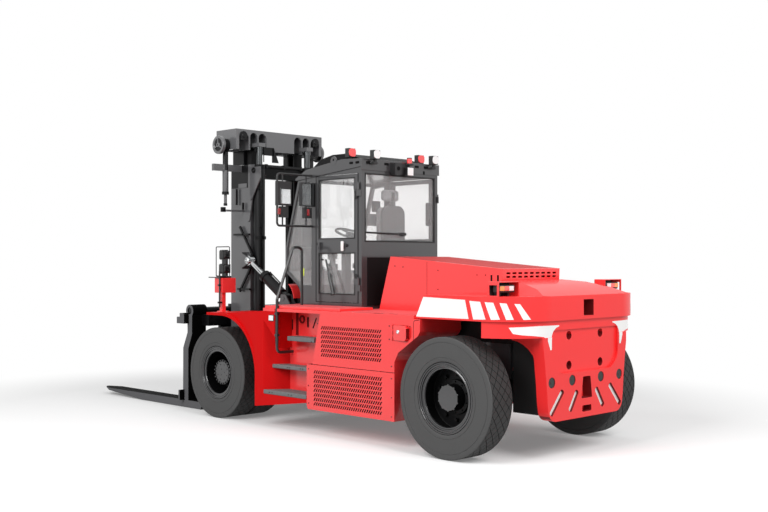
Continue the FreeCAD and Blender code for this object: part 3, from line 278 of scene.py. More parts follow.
def turn(bm, outline, hub, steps):
    """Turns an outline of (radius, y) points in millimetres about an axle along Y."""
    ring = [bm.verts.new((hub.x + r / 1000, y / 1000, hub.z)) for r, y in outline]
    edges = [bm.edges.new(pair) for pair in zip(ring, ring[1:])]
    bmesh.ops.spin(bm, geom=ring + edges, cent=(hub.x, 0, hub.z), axis=(0, 1, 0),
                   angle=2 * pi, steps=steps, use_merge=True, use_duplicate=False)


def close_rings(bm):
    """Welds turned shapes and points their faces outwards."""
    bmesh.ops.remove_doubles(bm, verts=bm.verts, dist=0.00001)
    outwards(bm)


def tyre(hub, radius, bore, y0, y1, pitches):
    """One tyre between two wall planes, as a bmesh; sizes in millimetres."""
    flat = radius - GROOVE
    inner = [(bore, -16), (bore + 5, -5), (bore + 16, -0.5), (bore + 40, 0), (bore + 42, -3),
             (bore + 46, -3), (bore + 48, 0)]
    outer = [(60, 0), (58, -3), (54, -3), (52, 0), (16, 0), (4, -4), (0.5, -SHOULDER),
             (GROOVE, -SHOULDER)]
    wall = [(r, y1 + y) for r, y in inner + [(radius - r, y) for r, y in outer]]
    body = bmesh.new()
    turn(body, wall, hub, 120)
    turn(body, [(r, y0 + y1 - y) for r, y in reversed(wall)] + [wall[0]], hub, 120)
    close_rings(body)
    tread = bmesh.new()
    width = y1 - y0 - 2 * SHOULDER
    turn(tread, [(flat, y0 + SHOULDER + width * i / COLUMNS) for i in range(COLUMNS + 1)],
         hub, pitches)
    close_rings(tread)
    lines = [e for e in tread.edges if e.is_manifold]
    bmesh.ops.poke(tread, faces=tread.faces)
    bmesh.ops.dissolve_edges(tread, edges=lines, use_verts=False)
    blocks = list(tread.faces)
    bmesh.ops.inset_individual(tread, faces=blocks, thickness=GAP / 1000, depth=0)
    for face in bmesh.ops.extrude_discrete_faces(tread, faces=blocks)["faces"]:
        away = face.calc_center_median() - hub
        away.y = 0
        bmesh.ops.translate(tread, verts=face.verts, vec=away.normalized() * GROOVE / 1000)
    bmesh.ops.subdivide_edges(tread, edges=[e for e in tread.edges if e.calc_length() > 0.02],
                              cuts=1, use_grid_fill=True)
    for vert in tread.verts:  # blocks and grooves lie on two cylinders
        out = Vector((vert.co.x - hub.x, 0, vert.co.z - hub.z))
        level = radius if out.length * 1000 > flat + GROOVE * 0.55 else flat
        vert.co += out.normalized() * (level / 1000 - out.length)
    put(body, tread, 1)
    return body


# Carbon-black rubber, press moulded: dull, with a fine mould grain and some dust.
# The tread's rubber is a darker copy of the wall's, painted as shade.
rubber = [surface(name, (linear(dark), linear(light)), (180, 5),
                  (NOISE, {}, {"Scale": 1000 / 9, "Detail": 4}, "Fac"), (0.35, 0.001),
                  (0.6, 0.85), {"IOR": 1.52})
          for name, dark, light in (("wall_rubber", "#3B3B3B", "#4A4A4A"),
                                    ("tread_rubber_painted_shade", "#191919", "#252525"))]
for side, name in SIDES:
    bm = bmesh.new()
    for outer in (1156, 811):
        put(bm, tyre(at(0, 0, FRONT_R), FRONT_R, 330, outer - 300, outer, 32))
    to_side(bm, side)
    fit(bm, "dual_tyres_" + name, rubber, ["front_tyres_" + name], "front_wheel_" + name,
        sharp=25)
    bm = tyre(at(-WHEELBASE, 0, REAR_R), REAR_R, 360, 937.5, 1255.5, 34)
    to_side(bm, side)
    fit(bm, "steer_tyre_" + name, rubber, ["rear_tyre_" + name], "rear_wheel_" + name,
        sharp=25)

# ---------------------------------------------------------------- rims and hubs
# Three-piece steel rims with a lock ring round the edge, bolted to cast hubs by studs and
# nuts.  Turned as one ring each; the studs, nuts and cover bolts stand on their circles.


def bolt_head(bm, centre, radius_mm, height_mm, corners):
    """A bolt head or nut that stands on the left side of a plane that faces Y."""
    made = bmesh.ops.create_cone(bm, cap_ends=True, segments=corners, radius1=radius_mm / 1000,
                                 radius2=radius_mm * 0.93 / 1000, depth=height_mm / 1000)["verts"]
    bmesh.ops.rotate(bm, verts=made, matrix=Matrix.Rotation(-pi / 2, 3, "X"))
    bmesh.ops.translate(bm, verts=made, vec=centre + Vector((0, height_mm / 2000, 0)))


rim_paints = [enamel("rim_enamel", "#1F1F21", 0.42, peel_mm=6),
              enamel("nut_enamel", "#1B1B1C", 0.5),
              enamel("rim_well_painted_shade", "#060607", 0.5, coat=0.05, shine=0.15)]
RIMS = (
    # names, hub, outline, bolt circles (y, circle, count, radius, height, corners), the plane
    # inside which bolts are bare, and the well painted as shade (reach, depth, cap radius, cap
    # depth) in metres
    (("dual_rim_", "front_rims_", "front_wheel_"), at(0, 0, FRONT_R),
     [(55.1, 605), (165, 605), (165, 813), (306, 813), (306, 517), (330, 517), (330, 1143),
      (325, 1150), (316, 1150), (312, 1144), (312, 1140), (304, 1140), (302, 1146), (296, 1146),
      (292, 1138), (292, 1131), (284, 1129), (276, 1132), (266, 1130), (262, 1120), (266, 1108),
      (288, 1092), (288, 853), (280, 849), (205, 847), (200, 852), (200, 888), (194, 893),
      (148, 893), (137, 1048), (153, 1050), (155, 1053), (155, 1058), (135, 1060), (132, 1066),
      (0.1, 1066)],
     ((1058, 145, 20, 9, 20, 6), (1066, 101, 8, 8, 5, 6), (1066, 40, 3, 8, 4, 6),
      (847, 240, 12, 19, 26, 6)), 1.0, (0.289, 1.1, 0.158, 1.045)),
    (("steer_rim_", "rear_rim_", "rear_wheel_"), at(-WHEELBASE, 0, REAR_R),
     [(55.1, 985.5), (120, 985.5), (150, 1025.5), (336, 1025.5), (336, 943.5), (360, 943.5),
      (360, 1243), (355, 1249), (346, 1249), (342, 1243), (342, 1238), (333, 1238), (331, 1245),
      (325, 1245), (321, 1236), (321, 1228), (312, 1226), (304, 1230), (294, 1228), (289, 1217),
      (293, 1205), (318, 1190), (318, 1060), (308, 1055.5), (178, 1055.5), (174, 1060),
      (172, 1084), (136, 1092), (122, 1186), (126, 1190), (126, 1200), (122, 1200.5),
      (0.1, 1200.5)],
     ((1190, 127, 10, 11, 9, 8), (1055.5, 232, 10, 21, 30, 6), (1085, 154, 10, 9, 14, 6)), 1.1,
     (0.319, 1.19, 0.13, 1.18)))
for side, name in SIDES:
    for (piece, node, body), hub, outline, circles, bare, (reach, depth, cap, cap_depth) in RIMS:
        bm = bmesh.new()
        turn(bm, outline, hub, 96)
        close_rings(bm)
        painted = len(bm.faces)
        for y, circle, count, radius, height, corners in circles:
            for i in range(count):
                angle = 2 * pi * (i + 0.5) / count
                spot = Vector((hub.x + circle / 1000 * cos(angle), y / 1000,
                               hub.z + circle / 1000 * sin(angle)))
                bolt_head(bm, spot, radius, height, corners)
        to_side(bm, side)
        for i, face in enumerate(bm.faces):
            middle = face.calc_center_median()
            out, width = hypot(middle.x - hub.x, middle.z - hub.z), abs(middle.y)
            if i >= painted and width < bare:
                face.material_index = 1
            # painted shade: the faces deep in the well are near-black
            if out < reach and width < depth and (out > cap or width < cap_depth):
                face.material_index = 2
        fit(bm, piece + name, rim_paints, [node + name], body + name)

# ---------------------------------------------------------------- lower counterweight
# The cast tail of the truck, ground smooth and sprayed red, with plugged bolt holes, a tow
# notch and four marker slots.  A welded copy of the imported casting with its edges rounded.

TAIL_X = -4740  # the flat rear face
MARKERS = (((410, 690), (617, 460)), ((164, 669), (297, 470)))  # the slots' middle lines, y and z
HOLE_SHADE = 4  # place of the dark red painted as shade in holes, in the casting's materials


def copy_of(name):
    """A welded bmesh copy of a CAD node, with each flat face whole again."""
    bm = bmesh.new()
    bm.from_mesh(nodes[name].data)
    bmesh.ops.remove_doubles(bm, verts=bm.verts, dist=0.00001)
    bmesh.ops.dissolve_limit(bm, angle_limit=radians(0.4), verts=bm.verts, edges=bm.edges)
    return bm


def round_off(bm, edges, radius_mm, segments=2):
    """Rounds edges off."""
    bmesh.ops.bevel(bm, geom=edges, offset=radius_mm / 1000, offset_type="OFFSET",
                    segments=segments, profile=0.5, affect="EDGES", clamp_overlap=True,
                    material=-1)


def hard_edges(bm, angle=35, least_mm=0):
    """The edges where two faces meet at more than an angle in degrees."""
    return [e for e in bm.edges if e.is_manifold and e.calc_face_angle(0) > radians(angle)
            and e.calc_length() > least_mm / 1000]


def edges_along_x(bm, corners):
    """The straight edges along X that pass through (y, z) corners on either side, in mm."""
    found = []
    for edge in bm.edges:
        a, b = (v.co for v in edge.verts)
        if hypot(a.y - b.y, a.z - b.z) < 1e-5 and (a - b).length > 0.001 and any(
                hypot(abs(a.y) - y / 1000, a.z - z / 1000) < 0.0006 for y, z in corners):
            found.append(edge)
    return found


def prism(bm, ring, run):
    """Draws a face through points in metres out along a run, and returns its far vertices."""
    face = bm.faces.new([bm.verts.new(p) for p in ring])
    far = bmesh.ops.extrude_face_region(bm, geom=[face])["geom"]
    far = [g for g in far if isinstance(g, bmesh.types.BMVert)]
    bmesh.ops.translate(bm, verts=far, vec=run)
    return far


def split(bm, spot, across, faces=None):
    """Cuts faces, or all of them, where a plane crosses them, and returns what they became."""
    geom = {g for face in faces or bm.faces for g in (face, *face.edges, *face.verts)}
    cut = bmesh.ops.bisect_plane(bm, geom=list(geom), dist=1e-6, plane_co=spot,
                                 plane_no=across)["geom"]
    return [g for g in cut if isinstance(g, bmesh.types.BMFace)]


def lay_film(bm, outline, place, cuts):
    """Cuts film to an outline of (along, up) points and lays it on a surface.

    It bends at the cuts, which are (along, 0) or (0, up)."""
    made = [bm.faces.new([bm.verts.new((a / 1000, 0, b / 1000)) for a, b in outline])]
    for along, up in cuts:
        made = split(bm, (along / 1000, 0, up / 1000), (1, 0, 0) if along else (0, 0, 1), made)
    for vert in {v for face in made for v in face.verts}:
        vert.co = place(vert.co.x * 1000, vert.co.z * 1000)


def film_on_both_sides(bm, name):
    """Lays the same film on the right side and fits both."""
    twin = bmesh.ops.duplicate(bm, geom=bm.faces[:])["geom"]
    bmesh.ops.scale(bm, verts=[g for g in twin if isinstance(g, bmesh.types.BMVert)],
                    vec=(1, -1, 1))
    bmesh.ops.reverse_faces(bm, faces=[g for g in twin if isinstance(g, bmesh.types.BMFace)])
    fit(bm, name, [white_vinyl])


def rod(bm, a, b, radius_mm, steps=16, end_mm=None):
    """A round bar between two points in metres."""
    run = b - a
    made = bmesh.ops.create_cone(bm, cap_ends=True, segments=steps, radius1=radius_mm / 1000,
                                 radius2=(radius_mm if end_mm is None else end_mm) / 1000,
                                 depth=run.length)["verts"]
    bmesh.ops.rotate(bm, verts=made, matrix=run.to_track_quat("Z", "Y").to_matrix())
    bmesh.ops.translate(bm, verts=made, vec=(a + b) / 2)


# Cast vinyl film, 0.1 mm, satin white.
white_vinyl = enamel("white_vinyl", "#F4F4F2", 0.38, peel_mm=30, peel=0.05)
cast_red = enamel("red_enamel_on_castings", "#F62829", 0.5, coat=0.35, shine=0.4)
grey_plastic = enamel("plug_plastic", "#3B3D3C", 0.6, coat=0.0, shine=0.3)
# A dark red painted as the shade on the walls of holes and slots.
hole_shade_red = enamel("hole_shade_red", "#7A0A0C", 0.6, coat=0.0)
# A near-black painted as the shade inside the counterweight's arch.
arch_painted_shade = enamel("arch_painted_shade", "#101011", 0.75, peel_mm=12, peel=0.5, coat=0.0)

slot_corners = []
for a, b in MARKERS:
    wide = (Vector(b) - Vector(a)).orthogonal().normalized() * 22
    slot_corners += [Vector(p) + k * wide for p in (a, b) for k in (1, -1)]
bm = copy_of("counterweight_lower")
for radius, segments, corners in (
        (38, 5, ((570, 1290), (570, 1000), (540, 940), (440, 858))),
        (40, 4, ((568, 390), (640, 440), (664, 560))),
        (14, 3, ((65, 800), (95, 580), (80, 444), (80, 507))), (20, 4, slot_corners)):
    round_off(bm, edges_along_x(bm, corners), radius, segments)
round_off(bm, hard_edges(bm), 5)
for vert in bm.verts:  # the four slots are 60 mm wide
    for side in (1, -1):
        for a, b in MARKERS:
            run = (Vector(b) - Vector(a)) / 1000
            off = Vector((vert.co.y * side, vert.co.z)) - Vector(a) / 1000
            down, across = off.dot(run.normalized()), off.cross(run.normalized())
            if vert.co.x < at(TAIL_X + 62, 0, 0).x and -0.008 < down < run.length + 0.008 \
                    and abs(across) < 0.029:
                shift = run.orthogonal().normalized() * abs(across) * 0.36
                if shift.dot(off - run.normalized() * down) < 0:
                    shift = -shift
                vert.co += Vector((0, side * shift.x, shift.y))
for face in bm.faces:  # painted shade: the faces inside the arch are near-black
    spot = face.calc_center_median()
    local_x = (spot.x - DRIVE_X) * 1000
    if spot.z < 1.2215 and local_x > -4611 or abs(spot.y) < 0.4585 and local_x > -4200:
        face.material_index = 3
plugs, strips, webs = bmesh.new(), bmesh.new(), bmesh.new()
for y in (-597, -253, 253, 597):
    for depth, radius, half in ((13, 52, 6), (6, 15, 2.5)):
        rod(plugs, at(TAIL_X + depth - half, y, 778), at(TAIL_X + depth + half, y, 778), radius, 32)
put(bm, plugs, 1)
for side in (1, -1):
    for a, b in MARKERS:
        middle, half = (Vector(a) + Vector(b)) / 2, (Vector(b) - Vector(a)) / 2 * 0.93
        wide = half.orthogonal().normalized() * 28
        ring = [at(TAIL_X + 24, side * p.x, p.y) for p in
                (middle + half + wide, middle + half - wide, middle - half - wide,
                 middle - half + wide)]
        face = strips.faces.new([strips.verts.new(p) for p in ring])
        face.normal_update()
        if face.normal.x > 0:
            face.normal_flip()
put(bm, strips, 2)
for face in bm.faces:  # the walls of every hole and slot are painted dark red as shade
    spot = face.calc_center_median()
    depth = (spot.x - DRIVE_X) * 1000 - TAIL_X
    if abs(spot.y) < 0.632 and (
            3 < depth < 125 and face.normal.x > -0.5 and 0.42 < spot.z < 0.82
            or 26 < depth < 125 and 0.84 < spot.z < 1.24):
        face.material_index = HOLE_SHADE
arch = [(-4612, 1223), (-4340, 1223), (-4350, 1184), (-4420, 1172), (-4488, 1143),
        (-4545, 1103), (-4598, 1045), (-4612, 1000)]
for side in (1, -1):
    for vert in prism(webs, [at(x, side * 660, z) for x, z in arch], (0, 0, 0)):
        vert.co.y = side * (0.733 - (1.222 - vert.co.z) * 0.10)
outwards(webs)
put(bm, webs, 0)
fit(bm, "tail_casting", [cast_red, grey_plastic, white_vinyl, arch_painted_shade, hole_shade_red],
    ["counterweight_lower"])

# The corner of the slab and of the brow is a quarter turn about (-4204, 620) that starts
# 804 mm after a point 3.4 m behind the drive axle.
CORNER_X, CORNER_Y, STRAIGHT = -4204, 620, 804


def on_corner(along, up, radius, reach):
    """A point off a side and its rounded corner, and past the corner on the rear face."""
    turned = (along - STRAIGHT) / radius
    if turned <= 0:
        return at(CORNER_X + STRAIGHT - along, CORNER_Y + reach, up)
    if turned <= pi / 2:
        return at(CORNER_X - reach * sin(turned), CORNER_Y + reach * cos(turned), up)
    return at(CORNER_X - reach, CORNER_Y - (along - STRAIGHT - radius * pi / 2), up)


bm = bmesh.new()
lay_film(bm, [(1174, 1329), (1480, 1341), (1786, 1338), (1786, 1326), (1735, 1312),
              (1693, 1285), (1668, 1245), (1661, 1200), (1660, 1100), (1636, 1100), (1604, 1180),
              (1581, 1212), (1546, 1232), (1441, 1244), (1300, 1256), (1215, 1269)],
         lambda along, up: on_corner(along, up, 532, 533.5 if up > 1221.5 else 537.5),
         [(1180 + 30 * i, 0) for i in range(16)] + [(0, 1222), (0, 1221)])
outwards(bm)
if sum(f.normal.x for f in bm.faces) > 0:
    bmesh.ops.reverse_faces(bm, faces=bm.faces)
film_on_both_sides(bm, "brow_film")

# ---------------------------------------------------------------- upper counterweight
# The cast slab with its domed crown, rounded at the two rear corners, with the tow slot.
# White film stripes, slanted and each narrower than the last, run rearwards on both sides.

bm = copy_of("counterweight_upper")
round_off(bm, hard_edges(bm, 12), 7, 3)
for face in bm.faces:  # the tow slot's walls are painted dark red as shade
    spot = face.calc_center_median()
    if -4.7635 < spot.x - DRIVE_X < -4.55 and abs(spot.y) < 0.0885 and 1.419 < spot.z < 1.584:
        face.material_index = 1
fit(bm, "top_casting", [cast_red, hole_shade_red], ["counterweight_upper"], sharp=50)

bm = bmesh.new()
for stripe in ([(66, 1402), (166, 1606), (724, 1590), (771, 1404)],
               [(779, 1582), (910, 1576), (967, 1405), (829, 1402)],
               [(957, 1573), (1045, 1569), (1110, 1407), (1021, 1404)],
               [(1106, 1567), (1174, 1562), (1243, 1407), (1170, 1405)],
               [(1248, 1559), (1303, 1557), (1414, 1406), (1336, 1405)]):
    lay_film(bm, stripe, lambda along, up: on_corner(along, up, 560, 561.2),
             [(820 + 35 * i, 0) for i in range(17)])
outwards(bm)
for face in bm.faces:  # the printed side looks away from the casting
    if face.normal.dot(face.calc_center_median() - at(CORNER_X, 0, 1500)) < 0:
        face.normal_flip()
film_on_both_sides(bm, "slab_film")

# ---------------------------------------------------------------- hood
# Folded steel covers over the battery: smooth red sides, a rough dark red walking surface
# on top, vents in the raised rear edge, and the seam of the front cover with its screws.

GRIT_FRONT_X, GRIT_REAR_X, GRIT_HALF_Y = -2436, -4034, 478


def anti_slip(name, colour):
    """Enamel with 14 mm grit rolled in, which breaks up the light like coarse sandpaper."""
    return surface(name, tint(colour, 0.6, 1), (40, 6),
                   ("ShaderNodeTexVoronoi", {}, {"Scale": 1000 / 14}, "Distance"),
                   (0.9, 0.0025), 0.7, {})


def block(bm, x0, x1, y0, y1, z0, z1, edge_mm=0):
    """A plate, bar or housing between six planes in millimetres, with its edges eased."""
    made = bmesh.ops.create_cube(bm, size=1)["verts"]
    bmesh.ops.scale(bm, verts=made, vec=[abs(b - a) / 1000 for a, b in
                                         ((x0, x1), (y0, y1), (z0, z1))])
    bmesh.ops.translate(bm, verts=made, vec=at((x0 + x1) / 2, (y0 + y1) / 2, (z0 + z1) / 2))
    if edge_mm:
        round_off(bm, list({e for v in made for e in v.link_edges}), edge_mm)


def blocks(bm, side, *rows):
    """Blocks on one side: x, y and z from and to, and how much their edges are eased."""
    for x0, x1, y0, y1, z0, z1, edge in rows:
        block(bm, x0, x1, side * y0, side * y1, z0, z1, edge)


def screw_heads(bm, y, radius_mm, height_mm, spots, index):
    """Low eight-sided screw heads at (x, z) spots on both sides of a piece."""
    for side in (1, -1):
        heads = bmesh.new()
        for x, z in spots:
            bolt_head(heads, at(x, y, z), radius_mm, height_mm, 8)
        to_side(heads, side)
        put(bm, heads, index)


red_enamel = enamel("red_enamel", "#F23334", 0.34, coat=0.7)
grit_red = anti_slip("grit_red_enamel", "#C8302F")
dark_gap = enamel("shadow_gap", "#070708", 0.9, coat=0.0, shine=0.2)
bm = copy_of("hood")
top_normal = Vector((-130, 0, 1630)).normalized()
for spot, across in ((at(GRIT_REAR_X, 0, 1900), (1, 0, 0)), (at(GRIT_FRONT_X, 0, 1900), (1, 0, 0)),
                     (at(0, GRIT_HALF_Y, 0), (0, 1, 0)), (at(0, -GRIT_HALF_Y, 0), (0, 1, 0))):
    split(bm, spot, across)
round_off(bm, hard_edges(bm), 6)
for face in bm.faces:  # the walking surface
    spot = face.calc_center_median()
    if face.normal.dot(top_normal) > 0.995 and spot.z > 1.88 \
            and abs(spot.y) * 1000 < GRIT_HALF_Y + 1 \
            and GRIT_REAR_X - 1 < (spot.x - DRIVE_X) * 1000 < GRIT_FRONT_X + 1:
        face.material_index = 1
gaps = bmesh.new()
for side in (1, -1):
    blocks(gaps, side, (-2987, -2983, 494, 496.2, 1480, 1960, 0),
           (-3910, -3886, 494, 496.4, 1762, 1825, 0), (-3996, -3972, 494, 496.4, 1762, 1825, 0))
put(bm, gaps, 2)
screw_heads(bm, 494.5, 7, 4, ((-2492, 1912), (-2618, 1902), (-3148, 1868), (-3148, 1660),
                              (-3702, 1823), (-3817, 1823)), 2)
fit(bm, "hood_covers", [red_enamel, grit_red, dark_gap], ["hood"])

# ---------------------------------------------------------------- side boxes
# Sheet steel housings on both sides between the axles, in red enamel.  Their outer skins are
# punched with rows of slanted cooling slots and held by small dark screws.

SKIN_Y, PLATE, SLOT_LEAN = 1.2, 0.006, radians(32)  # metres
CELL = 9  # a mark on the cells of the slots while they are cut


def punch_slots(bm, side, x_front, x_rear, columns, z_top, rows, row_mm):
    """Punches rows of leaning slots, 12 mm wide, into the skin on one side."""
    column_mm = (x_front - x_rear) / columns
    top = z_top + 8
    low = top - rows * row_mm

    def skin(z0=0, z1=9000):
        return [f for f in bm.faces if f.normal.y * side > 0.99
                and abs(f.calc_center_median().y * side - SKIN_Y) < 0.0005
                and all(z0 / 1000 < v.co.z < z1 / 1000 for v in f.verts)]

    for x in (x_front + 20, x_rear - 20):
        split(bm, at(x, 0, 0), (1, 0, 0), skin())
    for z in (top, low):
        split(bm, at(0, 0, z), (0, 0, 1), skin())
    x0, x1 = at(x_rear - 20.5, 0, 0).x, at(x_front + 20.5, 0, 0).x
    bmesh.ops.dissolve_faces(bm, use_verts=False, faces=[
        f for f in skin(low - 0.5, top + 0.5) if all(x0 < v.co.x < x1 for v in f.verts)])
    for line in range(rows + 1):
        split(bm, at(0, 0, top - line * row_mm), (0, 0, 1), skin())
    whole, cells = column_mm * row_mm / 1e6, []
    for row in range(rows):
        low = top - (row + 1) * row_mm
        band = skin(low - 1, low + row_mm + 1)
        for i in range(columns + 1):
            band = split(bm, at(x_front - i * column_mm, 0, low + row_mm / 2),
                         (cos(SLOT_LEAN), 0, sin(SLOT_LEAN)), band)
        cells += [f for f in band if abs(f.calc_area() - whole) < whole * 0.03]
    bmesh.ops.inset_individual(bm, faces=cells, thickness=0.0064, depth=0, use_even_offset=True)
    for face in cells:
        face.material_index = CELL
    bmesh.ops.bevel(bm, geom=list({v for f in cells for v in f.verts}), offset=0.0045,
                    offset_type="OFFSET", segments=2, profile=0.5, affect="VERTICES",
                    clamp_overlap=True, material=-1)
    marked = [f for f in bm.faces if f.material_index == CELL]
    for face in marked:
        face.material_index = 0
    cells = [f for f in marked if f.calc_area() > 0.0001]
    for face in bmesh.ops.extrude_discrete_faces(bm, faces=cells)["faces"]:
        face.material_index = 1
        for wall in (w for edge in face.edges for w in edge.link_faces):
            wall.material_index = 1
        bmesh.ops.translate(bm, verts=face.verts, vec=(0, -side * PLATE, 0))


def bar(bm, a, b, half_mm, y0, y1):
    """A flat bar between two (x, z) points, from one Y plane to another, in millimetres."""
    a, b = Vector(a), Vector(b)
    wide = (b - a).orthogonal().normalized() * half_mm
    prism(bm, [at(p.x, y0, p.y) for p in (a + wide, b + wide, b - wide, a - wide)],
          (0, (y1 - y0) / 1000, 0))
    outwards(bm)


def skin_edge(edge):
    """Whether an edge of the outer skin is one that shows as rounded."""
    a, b = (v.co for v in edge.verts)
    upper = edge.calc_length() > 0.1 and (a.z + b.z) / 2 > 0.81
    return (upper or abs(a.x - b.x) < 0.0005 and edge.calc_length() > 0.4) \
        and min(abs(a.y), abs(b.y)) > 1.19


bm = copy_of("side_boxes")
round_off(bm, [e for e in hard_edges(bm) if skin_edge(e)], 9, 3)
for face in bm.faces:  # the seam between the upper and the lower housing
    if 0.7995 < face.calc_center_median().z < 0.8065:
        face.material_index = 1
for side in (1, -1):
    punch_slots(bm, side, -2022, -2978, 28, 1241, 7, 50.5)
    punch_slots(bm, side, -1900, -2988, 32, 740, 8, 51.4)
screw_heads(bm, 1199, 7, 5, ((-1964, 1267), (-1862, 1054), (-1812, 750), (-1812, 560),
                             (-1812, 360), (-3131, 868), (-3131, 741), (-3131, 542),
                             (-3131, 341), (-3100, 1290), (-3100, 1150)), 2)
seams = bmesh.new()
for side in (1, -1):
    for a, b in (((-3447, 1160), (-3447, 1335)), ((-3447, 1333), (-3453, 1352)),
                 ((-3453, 1352), (-3470, 1364)), ((-3470, 1364), (-3534, 1368))):
        bar(seams, a, b, 2.5, side * 1199, side * 1200.8)
put(bm, seams, 1)
black_zinc = enamel("black_zinc", "#1B1B1C", 0.4, coat=0.0)
fit(bm, "battery_housings", [red_enamel, dark_gap, black_zinc], ["side_boxes"])

# ---------------------------------------------------------------- charge flap
# A pressed steel lid over the charging socket, flush at its hinge and proud at its rear
# edge where it is pulled open, with a chrome ring round its lock.

HINGE_X, FLAP_LENGTH, FLAP_LIFT = -3156, 218, 35  # the lift is that of the rear edge


def bright_metal(name, colour, roughness, grain_mm):
    """Chromium plate or polished steel, with faint polishing marks."""
    material, tree = new_material(name)
    place = add(tree, "ShaderNodeTexCoord", {}, {})
    marks = add(tree, NOISE, {}, {"Vector": place.outputs["Object"], "Scale": 1000 / grain_mm,
                                  "Detail": 2})
    shine = add(tree, "ShaderNodeMapRange", {},
                {"Value": marks.outputs["Fac"], "To Min": roughness * 0.7,
                 "To Max": roughness * 1.3})
    skin = add(tree, "ShaderNodeBsdfPrincipled", {},
               {"Base Color": linear(colour), "Metallic": 1.0, "Roughness": shine.outputs[0]})
    add(tree, "ShaderNodeOutputMaterial", {}, {"Surface": skin.outputs[0]})
    return material


chrome = bright_metal("chrome_plate", "#C9CBCC", 0.12, 8)
# A dark red painted as shade on proud edges, strips and rings.
painted_shade_red = enamel("red_painted_as_shade", "#6A0709", 0.6, coat=0.0, shine=0.2)
bm, knuckles, lock = bmesh.new(), bmesh.new(), bmesh.new()
outline = [(HINGE_X, 1142), (-3346, 1142), (-3374, 1170), (-3374, 1274), (-3346, 1302),
           (HINGE_X, 1302)]
for vert in prism(bm, [at(x, 1190, z) for x, z in outline], (0, 0, 0)):
    vert.co.y = 1.203 + (at(HINGE_X, 0, 0).x - vert.co.x) / FLAP_LENGTH * FLAP_LIFT
outwards(bm)
round_off(bm, hard_edges(bm), 5, 3)
for z in (1165, 1222, 1279):
    rod(knuckles, at(-3145, 1204, z - 18), at(-3145, 1204, z + 18), 7)
put(bm, knuckles, 0)
turn(lock, [(9, 1), (11, 9), (15, 11), (20, 8), (22, 1)], Vector(), 24)
plug = bmesh.ops.create_circle(lock, cap_ends=True, segments=24, radius=0.010)["verts"]
bmesh.ops.rotate(lock, verts=plug, matrix=Matrix.Rotation(-pi / 2, 3, "X"))
bmesh.ops.translate(lock, verts=plug, vec=(0, 0.004, 0))
bmesh.ops.rotate(lock, verts=lock.verts,
                 matrix=Matrix.Rotation(-atan2(FLAP_LIFT, FLAP_LENGTH), 3, "Z"))
bmesh.ops.translate(lock, verts=lock.verts, vec=at(-3240, 1216, 1235))
outwards(lock)
put(bm, lock, 1)
for face in bm.faces:  # the edge that stands proud is in its own shade
    if face.normal.x < -0.9 and face.material_index == 0:
        face.material_index = 2
fit(bm, "charge_flap", [red_enamel, chrome, painted_shade_red], ["charge_door"], "charge_door")

# ---------------------------------------------------------------- fenders
# Folded plate over the drive wheels with a lip round each arch, the wall behind the ladder
# with its slots and eye, and a white marker lamp on each side.


def lens_plastic(name, colour, cloudiness):
    """Clear or tinted acrylic over a reflector: glossy, with a moulded prism pattern."""
    return surface(name, [linear(colour)], None,
                   ("ShaderNodeTexVoronoi", {"distance": "CHEBYCHEV"},
                    {"Scale": 1000 / 9, "Randomness": 0.0}, "Distance"), (0.6, 0.001),
                   cloudiness, {"IOR": 1.49, "Coat Weight": 1.0, "Coat Roughness": 0.03})


def moulding(name, colour, grain_mm, roughness):
    """Moulded rubber or plastic with a fine leathery grain."""
    return surface(name, tint(colour, 0.8, 1.2), (120, 4),
                   ("ShaderNodeTexVoronoi", {}, {"Scale": 1000 / grain_mm}, "Distance"),
                   (0.4, 0.0008), roughness, {})


# The fender plates take a darker copy of the body's red, painted as shade.
satin_red_painted_shade = enamel("satin_red_enamel", "#CC0A0C", 0.6, coat=0.0, shine=0.12)
clear_lens = lens_plastic("clear_lens", "#F3F5F5", 0.15)
black_plastic = moulding("black_plastic", "#1E1E1F", 4, 0.55)
bm = copy_of("fenders")
round_off(bm, [e for e in hard_edges(bm, 50, 30) if min(abs(v.co.y) for v in e.verts) > 0.9], 6)
for face in bm.faces:  # painted light: the wall behind the steps takes the brighter body red, as if lit
    if abs(face.normal.y) > 0.9 and abs(abs(face.calc_center_median().y) - 0.938) < 0.004:
        face.material_index = 3
for side in (1, -1):
    holes, hollows, eye = bmesh.new(), bmesh.new(), bmesh.new()
    for part, a, b, half in ((holes, (-1223, 1153), (-1223, 1275), 8),
                             (holes, (-1502, 1192), (-1502, 1313), 15),
                             (holes, (-1652, 1307), (-1591, 1186), 9),
                             (hollows, (-1309, 1093), (-1309, 1356), 24)):
        bar(part, a, b, half, side * 938, side * 941.2)
    turn(eye, [(28, 940), (28, 950), (32, 954), (44, 954), (48, 950), (48, 940)],
         at(-1402, 0, 1282), 32)
    to_side(eye, side)
    # the strips and the eye ring take the dark red painted as shade
    for part, index in ((holes, 1), (hollows, 2), (eye, 2)):
        put(bm, part, index)
fit(bm, "fender_plates", [satin_red_painted_shade, dark_gap, painted_shade_red, red_enamel], ["fenders"],
    sharp=30)

for side, name in SIDES:
    bm, lens = bmesh.new(), bmesh.new()
    blocks(bm, side, (-1197, -1103, 1196, 1206, 1260, 1336, 5))
    blocks(lens, side, (-1189, -1111, 1204, 1216, 1268, 1328, 5),
           (-1152, -1148, 1214, 1217, 1268, 1328, 1))
    put(bm, lens, 1)
    fit(bm, "marker_lamp_" + name, [black_plastic, clear_lens])

# ---------------------------------------------------------------- deck and steps
# The deck plate at the top of the housings is red like them, with grit rolled into its
# walkways.  The ladder steps are bent grey anti-slip plates on brackets.


def keep_where(bm, test):
    """Keeps only the vertices whose place passes a test."""
    bmesh.ops.delete(bm, geom=[v for v in bm.verts if not test(v.co)], context="VERTS")


